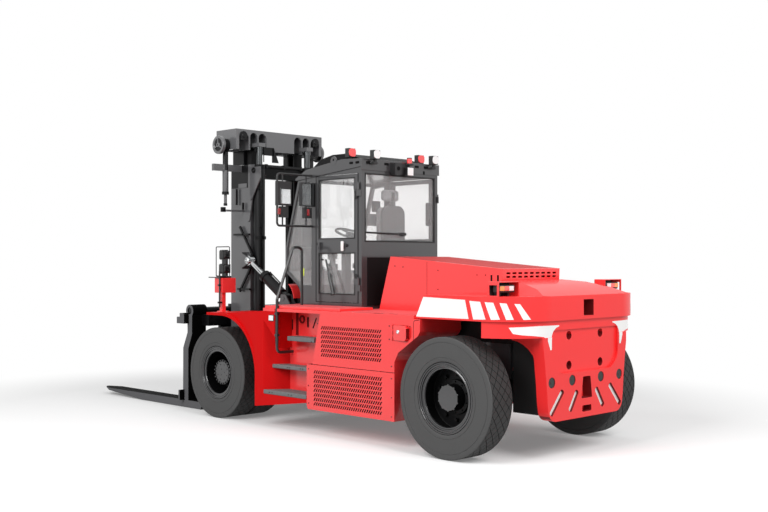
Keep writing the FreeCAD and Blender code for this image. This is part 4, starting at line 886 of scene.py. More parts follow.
deck_grit = anti_slip("red_deck_grit", "#F05A5C")
DECK_Z = 1.36  # the deck is above this height, the ladder below it
bm = copy_of("steps_and_deck")
keep_where(bm, lambda co: co.z > DECK_Z)
for y in (1155, -1155):
    split(bm, at(0, y, 0), (0, 1, 0))
round_off(bm, [e for e in hard_edges(bm, 35, 300) if e.verts[0].co.z > 1.41
               and abs(e.verts[0].co.z - e.verts[1].co.z) < 1e-4], 7, 3)
for face in bm.faces:  # the walkways have grit up to the rim of the deck
    spot = face.calc_center_median()
    if face.normal.z > 0.99 and spot.z > 1.4 and abs(spot.y) < 1.154:
        face.material_index = 1
holes = bmesh.new()
for side in (1, -1):
    blocks(holes, side, (-3162, -3038, 1128, 1146, 1411, 1413, 0),
           (-2942, -2818, 1128, 1146, 1411, 1413, 0))
put(bm, holes, 2)
fit(bm, "deck_plate", [red_enamel, deck_grit, dark_gap], ["steps_and_deck"])

bm = copy_of("steps_and_deck")
keep_where(bm, lambda co: co.z < DECK_Z)
for vert in bm.verts:  # the middle step reaches the slanting wall
    if 0.69 < vert.co.z < 0.75 and vert.co.x > DRIVE_X - 1.2:
        vert.co.x += 0.150 if abs(vert.co.y) > 1.0 else 0.04
round_off(bm, hard_edges(bm), 8, 3)
for x0, x1, y, z in ((-1762, -894, 1194, 420), (-1778, -1190, 1109, 722)):
    screw_heads(bm, y, 8, 4, [(x0 + (x1 - x0) * i, z) for i in (0.3, 0.36, 0.7, 0.76)], 1)
fit(bm, "ladder_steps", [anti_slip("grey_step_grit", "#77797A"), black_zinc])

# ---------------------------------------------------------------- handrails
# Bent steel tube, 35 mm, with clamped feet, dipped in black gloss paint.

black_gloss = enamel("black_gloss", "#141415", 0.3, peel_mm=8, coat=0.4)
bm, clamps = copy_of("handrails"), bmesh.new()
for side in (1, -1):
    blocks(clamps, side, *[(-1252, -1204, 1160, 1204, z - 14, z + 14, 4) for z in (1100, 1350)])
put(bm, clamps, 0)
fit(bm, "grab_rails", [black_gloss], ["handrails"], sharp=50)

# ---------------------------------------------------------------- cab frame
# Welded square tube and folded plate in charcoal enamel, with black rubber profiles in the
# window openings, the hinges of the doors and a padded grip inside the right rear post.


def rods(bm, side, *rows):
    """Round bars on one side: from a point, to a point, radius, corners and end radius."""
    for x0, y0, z0, x1, y1, z1, *rest in rows:
        rod(bm, at(x0, side * y0, z0), at(x1, side * y1, z1), *rest)


bm, trim, gap_skin = copy_of("cab_frame"), bmesh.new(), bmesh.new()
round_off(bm, hard_edges(bm, 30, 80), 4)
blocks(trim, 1, (-2110, -2092, -600, 600, 2972, 2990, 4),
       (-2110, -2092, -600, 600, 2190, 2208, 4), (-2110, -2092, -600, -582, 2190, 2990, 4),
       (-2110, -2092, 582, 600, 2190, 2990, 4),
       (-2035, -1975, -640, -560, 2400, 2690, 16), (-2126, -2106, -652, -628, 2680, 2760, 4))
for side in (1, -1):
    blocks(trim, side, (-2052, -2040, 640, 657, 1478, 2985, 3),
           (-1322, -1312, 640, 657, 1478, 2985, 3))
    for z in (1772, 2730):
        blocks(trim, side, (-2048, -2003, 648, 670, z - 35, z + 35, 6))
        rods(trim, side, (-2010, 666, z - 45, -2010, 666, z + 45, 10))
put(bm, trim, 1)
block(gap_skin, -2110, -2104, -600, 560, 1450, 2010)
put(bm, gap_skin, 2)
rubber_profile = moulding("rubber_profile", "#161617", 5, 0.6)
shade_black = enamel("black_under_cab", "#0A0203", 0.9, coat=0.0, shine=0.2)
fit(bm, "cab_shell", [charcoal_enamel, rubber_profile, shade_black], ["cab_frame"], sharp=30)

# ---------------------------------------------------------------- cab glass and wiper
# Flat toughened glass, 6 mm, greyish white where the sky is on it.  The rear pane has a black
# wiper arm, and the front quarter has a bare yellow-green strip of film.

# Toughened glass with a thin bright haze of dust, so what is behind it looks paler.
glass, tree = new_material("toughened_glass")
place = add(tree, "ShaderNodeTexCoord", {}, {})
haze = add(tree, NOISE, {}, {"Vector": place.outputs["Object"], "Scale": 1000 / 400, "Detail": 3})
clear = add(tree, "ShaderNodeMapRange", {},
            {"Value": haze.outputs["Fac"], "To Min": 0.92, "To Max": 0.89})
skin = add(tree, "ShaderNodeBsdfPrincipled", {},
           {"Base Color": WHITE, "Roughness": 0.0, "IOR": 1.45,
            "Transmission Weight": clear.outputs[0]})
add(tree, "ShaderNodeOutputMaterial", {}, {"Surface": skin.outputs[0]})
for node, body in (("cab_glass", "truck"), ("cab_door_glass_left", "cab_door_left"),
                   ("cab_door_glass_right", "cab_door_right")):
    fit(copy_of(node), node.replace("cab_", "") + "_panes", [glass], [node], body)

bm = bmesh.new()
rods(bm, 1, (-2124, -25, 2286, -2104, -25, 2286, 24, 24),
     (-2116, 30, 2291, -2114, 585, 2302, 8, 10), (-2110, 90, 2284, -2110, 590, 2294, 6, 6))
block(bm, -2122, -2106, -82, 34, 2270, 2306, 7)
fit(bm, "rear_wiper", [black_plastic])
bm = bmesh.new()
block(bm, -1075, -1040, 630.2, 631.4, 1790, 1880)
signal_green = enamel("signal_green_film", "#D9F235", 0.38, peel_mm=30, peel=0.05)
fit(bm, "quarter_film", [signal_green])

# ---------------------------------------------------------------- cab doors
# Folded steel leaves on two rear hinges each, with rubber round their windows, a white pull
# handle and two round locks, and a black gas strut inside.

white_enamel = enamel("white_enamel", "#F2F2F0", 0.35)
for side, name in SIDES:
    door = "cab_door_" + name
    bm, trim, pull, strut = copy_of(door), bmesh.new(), bmesh.new(), bmesh.new()
    round_off(bm, hard_edges(bm, 30, 80), 3)
    for z0, z1 in ((2235, 2934), (1580, 2060)):
        for x0, x1, low, high in ((-1998, -1361, z1 - 6, z1 + 8), (-1998, -1361, z0 - 8, z0 + 6),
                                  (-1998, -1984, z0, z1), (-1375, -1361, z0, z1)):
            blocks(trim, side, (x0, x1, 645, 656, low, high, 3))
    rods(trim, side, (-1361, 650, 2172, -1361, 672, 2172, 20, 20, 16),
         (-1855, 650, 2151, -1855, 672, 2151, 22, 20, 17.6))
    put(bm, trim, 1)
    blocks(pull, side, (-1818, -1780, 658, 682, 2085, 2202, 9),
           (-1812, -1786, 648, 662, 2096, 2112, 2), (-1812, -1786, 648, 662, 2176, 2192, 2))
    put(bm, pull, 2)
    fit(bm, "door_leaf_" + name, [charcoal_enamel, rubber_profile, white_enamel], [door], door,
        sharp=30)
    rods(strut, side, (-1505, 662, 1985, -1556, 662, 1820, 12, 12),
         (-1556, 662, 1820, -1632, 662, 1573, 20, 16), (-1438, 646, 1985, -1438, 670, 1985, 11, 12),
         (-1592, 646, 1573, -1592, 670, 1573, 11, 12))
    fit(strut, "gas_strut_" + name, [black_gloss], body=door)

# ---------------------------------------------------------------- cab roof
# Pressed roof of charcoal plate with a punched guard on top, slots along its rear edge and
# a lifting lug with a hole on each side.

bm, lugs, holes = copy_of("cab_roof"), bmesh.new(), bmesh.new()
round_off(bm, hard_edges(bm, 20, 80), 8, 3)
for face in bm.faces:  # the guard, between the two side rails
    if all(abs(v.co.y) < 0.527 for v in face.verts) and face.normal.z > -0.4 \
            and face.calc_center_median().z > 3.05:
        face.material_index = 1
for side in (1, -1):
    rods(lugs, side, (-1643, 655, 3150, -1643, 667, 3150, 52, 28))
    rods(holes, side, (-1643, 666, 3162, -1643, 668.5, 3162, 13, 16))
    for x in (-1947, -2051):
        rods(holes, side, (x - 18, 664, 3107, x + 18, 666.5, 3107, 15, 12))
        blocks(holes, side, (x - 30, x + 30, 664, 666.5, 3094, 3120, 1))
blocks(holes, 1, *[(-2121.5, -2118, y - 36, y + 36, 3092, 3122, 1)
                   for y in (556, 462, 259, -259, -421, -542)],
       (-2124, -2118, -400, -372, 3020, 3060, 2))
put(bm, lugs, 0)
put(bm, holes, 2)
roof_guard = enamel("guard_black", "#09090A", 0.6, coat=0.0, shine=0.2)
fit(bm, "roof_shell", [charcoal_enamel, roof_guard, dark_gap], ["cab_roof"], sharp=30)

# ---------------------------------------------------------------- roof lamps
# Two red brake lamps and two white work lamps face rearwards in black housings; between them
# stand the camera, a work lamp and a red beacon.

bm, reds, whites, camera_eye = copy_of("roof_lamps"), bmesh.new(), bmesh.new(), bmesh.new()
round_off(bm, hard_edges(bm, 35, 40), 6)
for side in (1, -1):
    blocks(reds, side, (-1896, -1878, 540, 640, 3190, 3284, 0))
    blocks(whites, side, (-2214, -2196, 452, 548, 3152, 3246, 0))
for lens in (reds, whites):
    round_off(lens, [e for e in lens.edges
                     if abs(e.verts[0].co.x - e.verts[1].co.x) > 0.01], 32, 5)
rods(reds, 1, (-2163, -88, 3134, -2163, -88, 3186, 31, 24),
     (-2163, -88, 3186, -2163, -88, 3200, 31, 24, 20))
block(whites, -2206, -2190, -116, -24, 2986, 3080, 8)
rods(camera_eye, 1, (-2200, 132, 3060, -2190, 132, 3060, 24, 24))
for part, index in ((reds, 1), (whites, 2), (camera_eye, 3)):
    put(bm, part, index)
fit(bm, "roof_lamp_set", [black_plastic, lens_plastic("red_lens", "#FF4A4C", 0.2), clear_lens,
                          dark_gap], ["roof_lamps"])

# ---------------------------------------------------------------- seat and console
# The operator's seat on its sprung base, the armrest with its levers, the steering wheel on a
# tilting column, and two display boxes.  Grey moulded plastic and black steel.

cab_plastic = moulding("cab_plastic", "#4C4D4E", 5, 0.6)
bm = copy_of("seat_frame")
for vert in bm.verts:  # the headrest's stem is slim
    if vert.co.z > 2.629 and abs(vert.co.y) < 0.061:
        vert.co.y *= 0.3
round_off(bm, edges_along_x(bm, [(190, 2630)]), 110, 8)
round_off(bm, hard_edges(bm), 10)
fit(bm, "seat_base", [cab_plastic], ["seat_frame"])

bm, levers, screens = copy_of("operator_console"), bmesh.new(), bmesh.new()
round_off(bm, hard_edges(bm, 35, 50), 6)
rods(levers, 1, (-1610, -350, 2285, -1606, -350, 2352, 8, 12),
     (-1130, -560, 2410, -1130, -560, 2640, 11, 12), (-1130, -560, 2500, -1130, -500, 2500, 9, 12),
     (-1130, -560, 2430, -1030, -606, 2430, 11, 12))
ball = bmesh.ops.create_uvsphere(levers, u_segments=20, v_segments=12, radius=0.026)["verts"]
bmesh.ops.scale(levers, verts=ball, vec=(1, 1, 1.25))
bmesh.ops.translate(levers, verts=ball, vec=at(-1606, -350, 2372))
for y in (-390, -362, -334):
    rods(levers, 1, (-1540, y, 2285, -1538, y, 2325, 4, 8))
    knob = bmesh.ops.create_uvsphere(levers, u_segments=12, v_segments=8, radius=0.011)["verts"]
    bmesh.ops.translate(levers, verts=knob, vec=at(-1538, y, 2330))
blocks(levers, 1, (-1165, -1130, -590, -460, 2600, 2740, 8),
       (-1175, -1135, -515, -345, 2420, 2570, 8))
blocks(screens, 1, (-1167, -1164, -580, -470, 2612, 2728, 0),
       (-1177, -1174, -503, -357, 2432, 2558, 0))
put(bm, levers, 1)
put(bm, screens, 2)
fit(bm, "console_and_wheel", [cab_plastic, black_plastic,
                              enamel("display_glass", "#3B4348", 0.12)], ["operator_console"])

# ---------------------------------------------------------------- mirrors
# Two black mirror heads on a bent steel tube at the left front post, each with a work lamp
# and its red lens below the glass.

bm, silver, shaded, reds = copy_of("mirrors"), bmesh.new(), bmesh.new(), bmesh.new()
round_off(bm, hard_edges(bm, 35, 80), 16, 3)
block(silver, -1301, -1293, 1036, 1182, 2640, 2812, 3)
block(shaded, -1301, -1293, 658, 853, 2630, 2896, 3)
blocks(reds, 1, (-1303, -1285, 1186, 1225, 2510, 2585, 8), (-1303, -1288, 742, 775, 2510, 2588, 5))
for part, index in ((silver, 1), (shaded, 2), (reds, 3)):
    put(bm, part, index)
fit(bm, "mirror_set", [black_plastic, bright_metal("mirror_silver", "#E8EAEB", 0.03, 60),
                       bright_metal("shaded_silver", "#77797A", 0.08, 60),
                       lens_plastic("dim_red_lens", "#8E1218", 0.25)], ["mirrors"], sharp=40)

# ---------------------------------------------------------------- outer mast
# Two steel channels tied by cross bars.  Their outer faces are charcoal, the faces where the
# inner mast runs are near-black as painted shade, and the stiffeners and clamps are welded on
# black.

AXLE_Z, BEARING = 0.5665, 0.1425  # height of the drive axle, radius of the bearings on it


def from_axle(point):
    """How far a point is from the drive axle's line, in metres."""
    return hypot(point.x - DRIVE_X, point.z - AXLE_Z)


# Near-black steel for bolts and rings, also painted as shade inside the mast's channels.
near_black_steel_and_painted_shade = enamel("near_black_steel_and_painted_shade", "#050506", 0.4, coat=0.06, shine=0.12)
mast_black = enamel("mast_black", "#08080A", 0.35, coat=0.12, shine=0.2)
# A lighter copy of the charcoal enamel, painted light so that the mast's sides look lit.
mast_enamel_painted_light = enamel("mast_enamel_painted_light", "#4A4A4C", 0.5)
bm = copy_of("mast_outer")
round_off(bm, [e for e in hard_edges(bm, 30, 80)
               if from_axle((e.verts[0].co + e.verts[1].co) / 2) > 0.15], 4)
for vert in bm.verts:  # the bearings turn clear of the axle's facets
    reach = from_axle(vert.co)
    if reach < 0.1415:
        vert.co.x = DRIVE_X + (vert.co.x - DRIVE_X) * BEARING / reach
        vert.co.z = AXLE_Z + (vert.co.z - AXLE_Z) * BEARING / reach
split(bm, at(0, 0, 2930), (0, 0, 1))
split(bm, at(215, 0, 0), (1, 0, 0))
for face in bm.faces:  # painted shade: near-black inside the channels and black on the front of their tops
    middle = face.calc_center_median()
    if all(0.322 < abs(v.co.y) < 0.4886 for v in face.verts):
        face.material_index = 1
    if middle.z > 2.931 and middle.x > DRIVE_X + 0.216 and abs(middle.y) < 0.51:
        face.material_index = 2
ties, plated, plates = bmesh.new(), bmesh.new(), bmesh.new()
for side in (1, -1):
    for a, b, half in (((355, 2420), (74, 2036), 13), ((124, 1884), (355, 1566), 13),
                       ((158, 2316), (481, 2316), 12), ((140, 1597), (400, 1597), 12),
                       ((426, 2709), (426, 2921), 7), ((290, 2640), (290, 2735), 7)):
        bar(ties, a, b, half, side * 505, side * 531)
    blocks(plates, side, (240, 420, 487, 496, 2932, 2990, 3))
    blocks(ties, side, (296, 336, 790, 850, 2604, 2668, 5))
    wing = ((-70, 3192), (-78, 3045), (96, 2782), (140, 2760), (140, 3192))
    prism(plates, [at(x, side * 506, z) for x, z in wing], (0, side * 0.014, 0))
    rods(ties, side, (375, 740, 3135, 375, 740, 3398, 36, 24),
         (375, 740, 2836, 375, 740, 2874, 46, 24), (375, 740, 2690, 375, 740, 2722, 27, 6))
    eye = bmesh.new()
    turn(eye, [(13, 519), (13, 530), (18, 534), (32, 534), (38, 528), (38, 519)],
         at(59, 0, 3149), 28)
    to_side(eye, side)
    put(bm, eye, 1)
    rods(plated, side, (82, 598, 1973, 82, 616, 1973, 42, 32),
         (82, 616, 1973, 82, 622, 1973, 36, 32, 28))
    for i in range(4):
        x, z = 82 + 24 * cos(pi / 4 + i * pi / 2), 1973 + 24 * sin(pi / 4 + i * pi / 2)
        rods(ties, side, (x, 620, z, x, 626, z, 6, 6))
rods(ties, 1, (84, -300, 3215, 84, 300, 3215, 22, 20))
blocks(ties, 1, *[(60, 108, y - 14, y + 14, 3188, 3244, 4) for y in (-296, 0, 296)])
outwards(plates)
for part, index in ((plates, 0), (ties, 2), (plated, 3)):
    put(bm, part, index)
fit(bm, "outer_mast_frame", [mast_enamel_painted_light, near_black_steel_and_painted_shade, mast_black, chrome], ["mast_outer"],
    "mast_outer", sharp=30)

# ---------------------------------------------------------------- lift cylinders
# Black painted barrels with a gland nut and pipe ports; the rods are ground and chromed.

bm = copy_of("lift_barrels")
for side in (1, -1):
    made = bmesh.new()
    rods(made, side, (80, 412, 3170, 80, 412, 3226, 77, 36), (80, 412, 850, 80, 412, 905, 77, 36),
         (60, 412, 2250, 60, 412, 2290, 76.5, 36), (8, 455, 1010, 8, 455, 3150, 9, 12))
    blocks(made, side, *[(0, 20, 440, 472, z - 14, z + 14, 3) for z in (1400, 1900, 2400, 2900)])
    put(bm, made, 1)
fit(bm, "lift_cylinder_tubes", [mast_black, near_black_steel_and_painted_shade], ["lift_barrels"], "mast_outer",
    sharp=30)
fit(copy_of("lift_rods"), "lift_cylinder_rods",
    [bright_metal("lift_rod_chrome", "#4E5051", 0.22, 12)], ["lift_rods"], "mast_inner",
    sharp=30)

# ---------------------------------------------------------------- inner mast
# Inner channels, near-black as painted shade, under a welded crosshead.  The crosshead carries
# two guide rollers, a cover plate with a notch, and the two hose sheaves.

SHEAVE_X, SHEAVE_Z = 360, 3477  # the pin of the hose sheaves
bm, rollers = copy_of("mast_inner"), bmesh.new()
round_off(bm, [e for e in hard_edges(bm, 30, 60)
               if (e.verts[0].co.z + e.verts[1].co.z) / 2 > 3.41], 7, 3)
for face in bm.faces:  # near-black painted as shade below the crosshead; black on the crosshead's ends
    if max(v.co.z for v in face.verts) < 3.4405 and all(abs(v.co.y) < 0.489 for v in face.verts):
        face.material_index = 1
    if abs(face.calc_center_median().y) > 0.742:
        face.material_index = 2
for y in (626, -613):
    rods(rollers, 1, (149, y, 3600, 128, y, 3600, 57, 36), (128, y, 3600, 120, y, 3600, 30, 24, 24))
blocks(rollers, 1, (134, 146, 286, 294, 3275, 3472, 1), (134, 146, 124, 290, 3365, 3472, 1))
cover = ((124, 3472), (38, 3275), (146.5, 3275), (146.5, 3472))
prism(rollers, [at(134, y, z) for y, z in cover], (0.012, 0, 0))
for side in (1, -1):
    blocks(rollers, side, (338, 574, 400, 470, 3240, 3424, 5))
    sheave, dish = bmesh.new(), bmesh.new()
    for part, outline in ((sheave, [(82, 868), (88, 873), (117, 873), (120, 866), (120, 834)]),
                          (sheave, [(12, 868), (12, 876), (28, 876), (32, 868)]),
                          (dish, [(14, 867), (84, 869)])):
        turn(part, outline, at(SHEAVE_X, 0, SHEAVE_Z), 40)
    for i in range(3):
        spoke = Vector((cos(pi / 2 + i * 2 * pi / 3), sin(pi / 2 + i * 2 * pi / 3)))
        hub = Vector((SHEAVE_X, SHEAVE_Z))
        bar(sheave, hub + spoke * 26, hub + spoke * 86, 8, 869, 875)
    for part, index in ((sheave, 0), (dish, 2)):
        to_side(part, side)
        put(bm, part, index)
outwards(rollers)
put(bm, rollers, 2)
# A still lighter copy of the charcoal enamel, painted light for the crosshead.
crosshead_enamel_painted_light = enamel("crosshead_enamel_painted_light", "#5A5A5C", 0.5)
fit(bm, "inner_mast_frame", [crosshead_enamel_painted_light, near_black_steel_and_painted_shade, mast_black], ["mast_inner"],
    "mast_inner", sharp=30)

# ---------------------------------------------------------------- tilt cylinders
# Black barrels with a gland collar and two hose ports, and chromed rods with a forged eye.
# A bent red plate guards the foot of each.

FOOT_X, FOOT_Z = -647, 1500  # the pin in the truck
for side, name in SIDES:
    barrel, ram = "tilt_barrel_" + name, "tilt_rod_" + name
    bm, ports = copy_of(barrel), bmesh.new()
    round_off(bm, hard_edges(bm, 30, 25), 5)
    foot = at(FOOT_X, side * 560, FOOT_Z)
    along = (at(82, side * 560, 1973) - foot).normalized()
    above = along.cross(Vector((0, 1, 0)))
    for run in (0.20, 0.44):
        spot = foot + along * run
        rod(ports, spot + above * 0.06, spot + above * 0.092, 17, 6)
        rod(ports, spot + above * 0.09, spot + above * 0.104, 11, 16)
    pipe = foot + above * 0.098
    rod(ports, pipe + along * 0.2, pipe + along * 0.44, 8, 12)
    put(bm, ports, 0)
    fit(bm, "tilt_cylinder_" + name, [mast_black], [barrel], barrel, sharp=30)
    bm = copy_of(ram)
    round_off(bm, hard_edges(bm, 30, 25), 4)
    fit(bm, "tilt_ram_" + name, [chrome], [ram], ram, sharp=30)

bm = bmesh.new()
for side in (1, -1):
    rings = [[bm.verts.new(at(FOOT_X + r * cos(a), side * y, FOOT_Z + r * sin(a)))
              for r, y in ((212, 498), (212, 622), (218, 622), (218, 498))]
             for a in [radians(124 + 4.5 * i) for i in range(13)]]
    for ring, after in zip(rings, rings[1:]):
        for j in range(4):
            k = (j + 1) % 4
            bm.faces.new([ring[j], ring[k], after[k], after[j]])
    bm.faces.new(rings[0])
    bm.faces.new(rings[-1])
outwards(bm)
fit(bm, "tilt_foot_guards", [red_enamel])

# ---------------------------------------------------------------- fork carriage
# A welded frame of black plate with the guide rollers, the fork shaft and its end plates, and
# the bolts of the rollers and of the wear pads.

bm, bolts = copy_of("carriage"), bmesh.new()
round_off(bm, hard_edges(bm, 30, 60), 6)
for side in (1, -1):
    rods(bolts, side, *[(375, 256, z, 375, 246, z, 34, 24) for z in (300, 960)],
         *[(x, 246, z, x, 238, z, 13, 6) for x in (490, 580, 670, 760) for z in (420, 900)],
         *[(754, y, z, 744, y, z, 13, 6) for y in (300, 440, 690) for z in (1140, 1210)])
put(bm, bolts, 1)
fit(bm, "carriage_frame", [mast_black, near_black_steel_and_painted_shade], ["carriage"], "carriage", sharp=30)

# ---------------------------------------------------------------- forks
# Forged steel, 230 mm wide, painted black; the flanks are painted light grey as lit, the tops
# near-black as shade.

# Black paint over forged steel, painted light grey as lit on faces that look sideways, and
# near-black as shade, in long streaks, on faces that look up.
fork_black, tree = new_material("fork_black")
place = add(tree, "ShaderNodeTexCoord", {}, {})
stretched = add(tree, "ShaderNodeVectorMath", {"operation": "MULTIPLY"},
                {0: place.outputs["Object"], 1: (1.5, 14, 14)})
streaks = add(tree, NOISE, {}, {"Vector": stretched.outputs[0], "Scale": 1.0, "Detail": 7,
                                "Roughness": 0.7})
facing = add(tree, "ShaderNodeNewGeometry", {}, {})
upward = add(tree, "ShaderNodeSeparateXYZ", {}, {"Vector": facing.outputs["Normal"]})
streak_mask = add(tree, "ShaderNodeMapRange", {},
             {"Value": streaks.outputs["Fac"], "From Min": 0.52, "From Max": 0.68})
shown = add(tree, "ShaderNodeMath", {"operation": "MULTIPLY", "use_clamp": True},
            {0: streak_mask.outputs[0], 1: upward.outputs["Z"]})
shaded_top = add(tree, "ShaderNodeMix", {"data_type": "RGBA"},
           {0: shown.outputs[0], 6: linear("#040404"), 7: linear("#161514")})
lit_flanks = add(tree, "ShaderNodeMath", {"operation": "ABSOLUTE"}, {0: upward.outputs["Y"]})
tone = add(tree, "ShaderNodeMix", {"data_type": "RGBA"},
           {0: lit_flanks.outputs[0], 6: shaded_top.outputs[2], 7: linear("#68686A")})
skin = add(tree, "ShaderNodeBsdfPrincipled", {},
           {"Base Color": tone.outputs[2], "Roughness": 0.8, "IOR": 1.5,
            "Specular IOR Level": 0.05})
add(tree, "ShaderNodeOutputMaterial", {}, {"Surface": skin.outputs[0]})
for fork in ("fork_left", "fork_right"):
    bm = copy_of(fork)
    round_off(bm, hard_edges(bm, 30, 60), 8, 3)
    fit(bm, fork.replace("fork", "fork_blade"), [fork_black], [fork], fork, sharp=30)

# ---------------------------------------------------------------- front lamps
# On each fender a red sheet box on a post carries two black work lamps one above the other
# inside a wire guard, with a thin black pole beside them.

LAMP_X, LAMP_Y = 128, 930  # the lamps' upright
for side, name in SIDES:
    bm, dark, glassy = bmesh.new(), bmesh.new(), bmesh.new()
    blocks(bm, side, (62, 228, 805, 1020, 1562, 1752, 7), (92, 150, 940, 998, 1318, 1570, 6),
           (60, 180, 915, 1020, 1318, 1330, 3))
    rods(dark, side, (100, 1034, 1380, 100, 1034, 1840, 11, 16),
         (100, 1040, 1758, 322, 1040, 1758, 7, 12),
         (LAMP_X, LAMP_Y, 1776, LAMP_X, LAMP_Y, 2110, 40, 24))
    blocks(dark, side, *[(86, 116, 1000, 1056, z - 12, z + 12, 3) for z in (1440, 1660)],
           (84, 176, 860, 1034, 1750, 1776, 5))
    guard = [(1084, 1780), (1084, 2138), (1076, 2146), (884, 2150), (876, 2142), (872, 1760)]
    for (y, z), (y1, z1) in zip(guard, guard[1:] + guard[:1]):
        rods(dark, side, (104, y, z, 104, y1, z1, 6, 8))
        joint = bmesh.ops.create_icosphere(dark, subdivisions=1, radius=0.006)["verts"]
        bmesh.ops.translate(dark, verts=joint, vec=at(104, side * y, z))
    for z, half, deep, lens in ((1868, 70, 52, 56), (2046, 68, 48, 54)):
        shell, middle = bmesh.new(), at(LAMP_X, side * LAMP_Y, z)
        blocks(shell, side, (LAMP_X - deep, LAMP_X + deep, LAMP_Y - half, LAMP_Y + half,
                             z - half, z + half, 0))
        for vert in shell.verts:  # the housing is narrower at its back
            if vert.co.x < middle.x:
                vert.co.y = middle.y + (vert.co.y - middle.y) * 0.72
                vert.co.z = middle.z + (vert.co.z - middle.z) * 0.72
        round_off(shell, hard_edges(shell), 24, 4)
        put(dark, shell)
        rib, back = half * 0.8, LAMP_X - deep + 8
        blocks(dark, side, *[(x, x + 5, LAMP_Y - rib, LAMP_Y + rib, z - rib, z + rib, 1)
                             for x in range(back, back + 70, 14)])
        rods(glassy, side, (LAMP_X + deep - 4, LAMP_Y, z, LAMP_X + deep + 4, LAMP_Y, z,
                            lens, 32, lens * 0.9))
    put(bm, dark, 1)
    put(bm, glassy, 2)
    fit(bm, "front_lamp_" + name, [red_enamel, black_gloss, clear_lens],
        ["road_lamps"] if side > 0 else (), sharp=30)

# ---------------------------------------------------------------- tail lamps
# A red plate pocket on each shoulder of the counterweight, open to the rear, with a black
# three-part lamp inside: amber outside, red, and clear inside.

tail_skins = [red_enamel, black_plastic, lens_plastic("amber_lens", "#F7A24A", 0.2),
              lens_plastic("tail_red_lens", "#F2605A", 0.2), clear_lens]
for side, name in SIDES:
    bm, black = bmesh.new(), bmesh.new()
    blocks(bm, side, (-4462, -4323, 756, 1077, 1762, 1770, 2),
           (-4331, -4323, 756, 1077, 1618, 1764, 2), (-4462, -4323, 756, 764, 1618, 1764, 2),
           (-4462, -4440, 1069, 1077, 1618, 1764, 1), (-4342, -4323, 1069, 1077, 1618, 1764, 1),
           (-4442, -4340, 1069, 1077, 1618, 1634, 1), (-4442, -4340, 1069, 1077, 1736, 1764, 1))
    blocks(black, side, (-4440, -4360, 800, 1040, 1664, 1738, 6),
           (-4400, -4340, 830, 860, 1625, 1670, 3), (-4400, -4340, 970, 1000, 1625, 1670, 3),
           (-4340, -4332, 766, 1068, 1622, 1760, 1))
    put(bm, black, 1)
    for index, inner, outer in ((2, 968, 1034), (3, 896, 966), (4, 822, 894)):
        lens = bmesh.new()
        blocks(lens, side, (-4450, -4434, inner, outer, 1680, 1727, 4))
        put(bm, lens, index)
    fit(bm, "tail_lamp_" + name, tail_skins, sharp=30)

# ---------------------------------------------------------------- seat cushions
# Foam under grey woven cloth: a seat pad, a tall back and a headrest, each crowned and pulled
# in at its piping.  They swell under a little air pressure, held near their moulded shape.


def with_modifiers(form):
    """The mesh that an object's modifiers make of it; the modifiers are then taken off."""
    graph = bpy.context.evaluated_depsgraph_get()
    mesh = bpy.data.meshes.new_from_object(form.evaluated_get(graph))
    form.modifiers.clear()
    return mesh


def swell(bm, cap_mm):
    """Blows a closed form up a little as cloth, never further than the cap."""
    form = link("foam", bpy.data.meshes.new("foam"))
    bm.to_mesh(form.data)
    bm.free()
    remesh = form.modifiers.new("remesh", "REMESH")
    remesh.mode = "VOXEL"
    remesh.voxel_size = 0.006
    form.data = mesh = with_modifiers(form)
    before = [v.co.copy() for v in mesh.vertices]
    cloth = form.modifiers.new("cloth", "CLOTH")
    cloth.settings.use_pressure = True
    cloth.settings.uniform_pressure_force = 4
    cloth.settings.effector_weights.gravity = 0
    cloth.point_cache.frame_start, cloth.point_cache.frame_end = 1, 20
    for moment in range(1, 21):
        scene.frame_set(moment)
    mesh = with_modifiers(form)
    scene.frame_set(1)
    for vert, start in zip(mesh.vertices, before):
        move = vert.co - start
        if move.length > cap_mm / 1000:
            vert.co = start + move.normalized() * cap_mm / 1000
    swollen = bmesh.new()
    swollen.from_mesh(mesh)
    bpy.data.objects.remove(form)
    return swollen


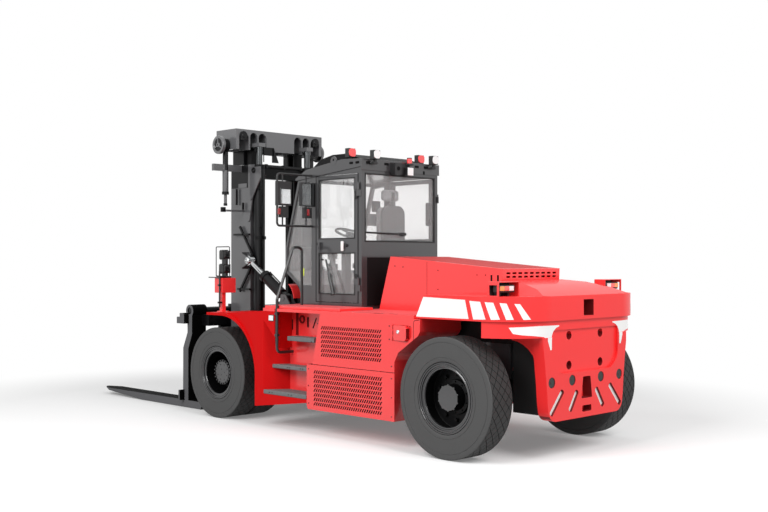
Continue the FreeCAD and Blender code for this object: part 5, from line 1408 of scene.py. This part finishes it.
def sew(bm, axis, places, depth_mm, half_mm):
    """Presses sewn channels across a cushion, along planes at set places on one axis."""
    centre = sum((v.co for v in bm.verts), Vector()) / len(bm.verts)
    for vert in bm.verts:
        for place in places:
            off = abs(vert.co[axis] - place / 1000) * 1000
            inward = centre - vert.co
            inward[axis] = 0
            if off < half_mm and inward.length > 0.02:
                pull = depth_mm / 1000 * (0.5 + 0.5 * cos(pi * off / half_mm))
                vert.co += inward.normalized() * pull


# Grey upholstery cloth, plain weave drawn at 6 mm (the real thread is under 1 mm).
upholstery, tree = new_material("grey_seat_cloth")
place = add(tree, "ShaderNodeTexCoord", {}, {})
threads = [add(tree, "ShaderNodeTexWave", {"bands_direction": run},
               {"Vector": place.outputs["Object"], "Scale": 52, "Distortion": 1.0})
           for run in ("Y", "Z")]
weave = add(tree, "ShaderNodeMath", {"operation": "MULTIPLY"},
            {0: threads[0].outputs["Fac"], 1: threads[1].outputs["Fac"]})
fade = add(tree, NOISE, {}, {"Vector": place.outputs["Object"], "Scale": 1000 / 150, "Detail": 4})
tone = add(tree, "ShaderNodeMix", {"data_type": "RGBA"},
           {0: fade.outputs["Fac"], 6: linear("#858688"), 7: linear("#999A9C")})
relief = add(tree, "ShaderNodeBump", {},
             {"Height": weave.outputs[0], "Strength": 0.5, "Distance": 0.001})
skin = add(tree, "ShaderNodeBsdfPrincipled", {},
           {"Base Color": tone.outputs[2], "Roughness": 0.85, "IOR": 1.45, "Sheen Weight": 0.3,
            "Normal": relief.outputs[0]})
add(tree, "ShaderNodeOutputMaterial", {}, {"Surface": skin.outputs[0]})

for name, replaced, box_mm, axis, channels, fill in (
        ("seat_cushion", ["seat_pads"], (-1822, -1498, -214, 214, 1953, 2022), 1, (-118, 118),
         0.7),
        ("seat_backrest", (), (-1936, -1858, -204, 204, 1978, 2622), 2, (2150, 2290, 2430), 0.6),
        ("seat_headrest", (), (-1953, -1880, -134, 134, 2690, 2826), 2, (), 0.8)):
    bm = bmesh.new()
    block(bm, *box_mm, 30)
    bm = swell(bm, 22)
    sew(bm, axis, channels, 7, 16)
    z0, z1 = box_mm[4:]
    if z1 - z0 > 120:  # the tall pads are narrower towards their tops
        for vert in bm.verts:
            rise = max(0, (vert.co.z * 1000 - (z0 + z1) / 2) / (z1 - z0) * 2)
            vert.co.y *= 1 - 0.24 * rise ** 4
    piece = fit(bm, name, [upholstery], replaced, sharp=180)
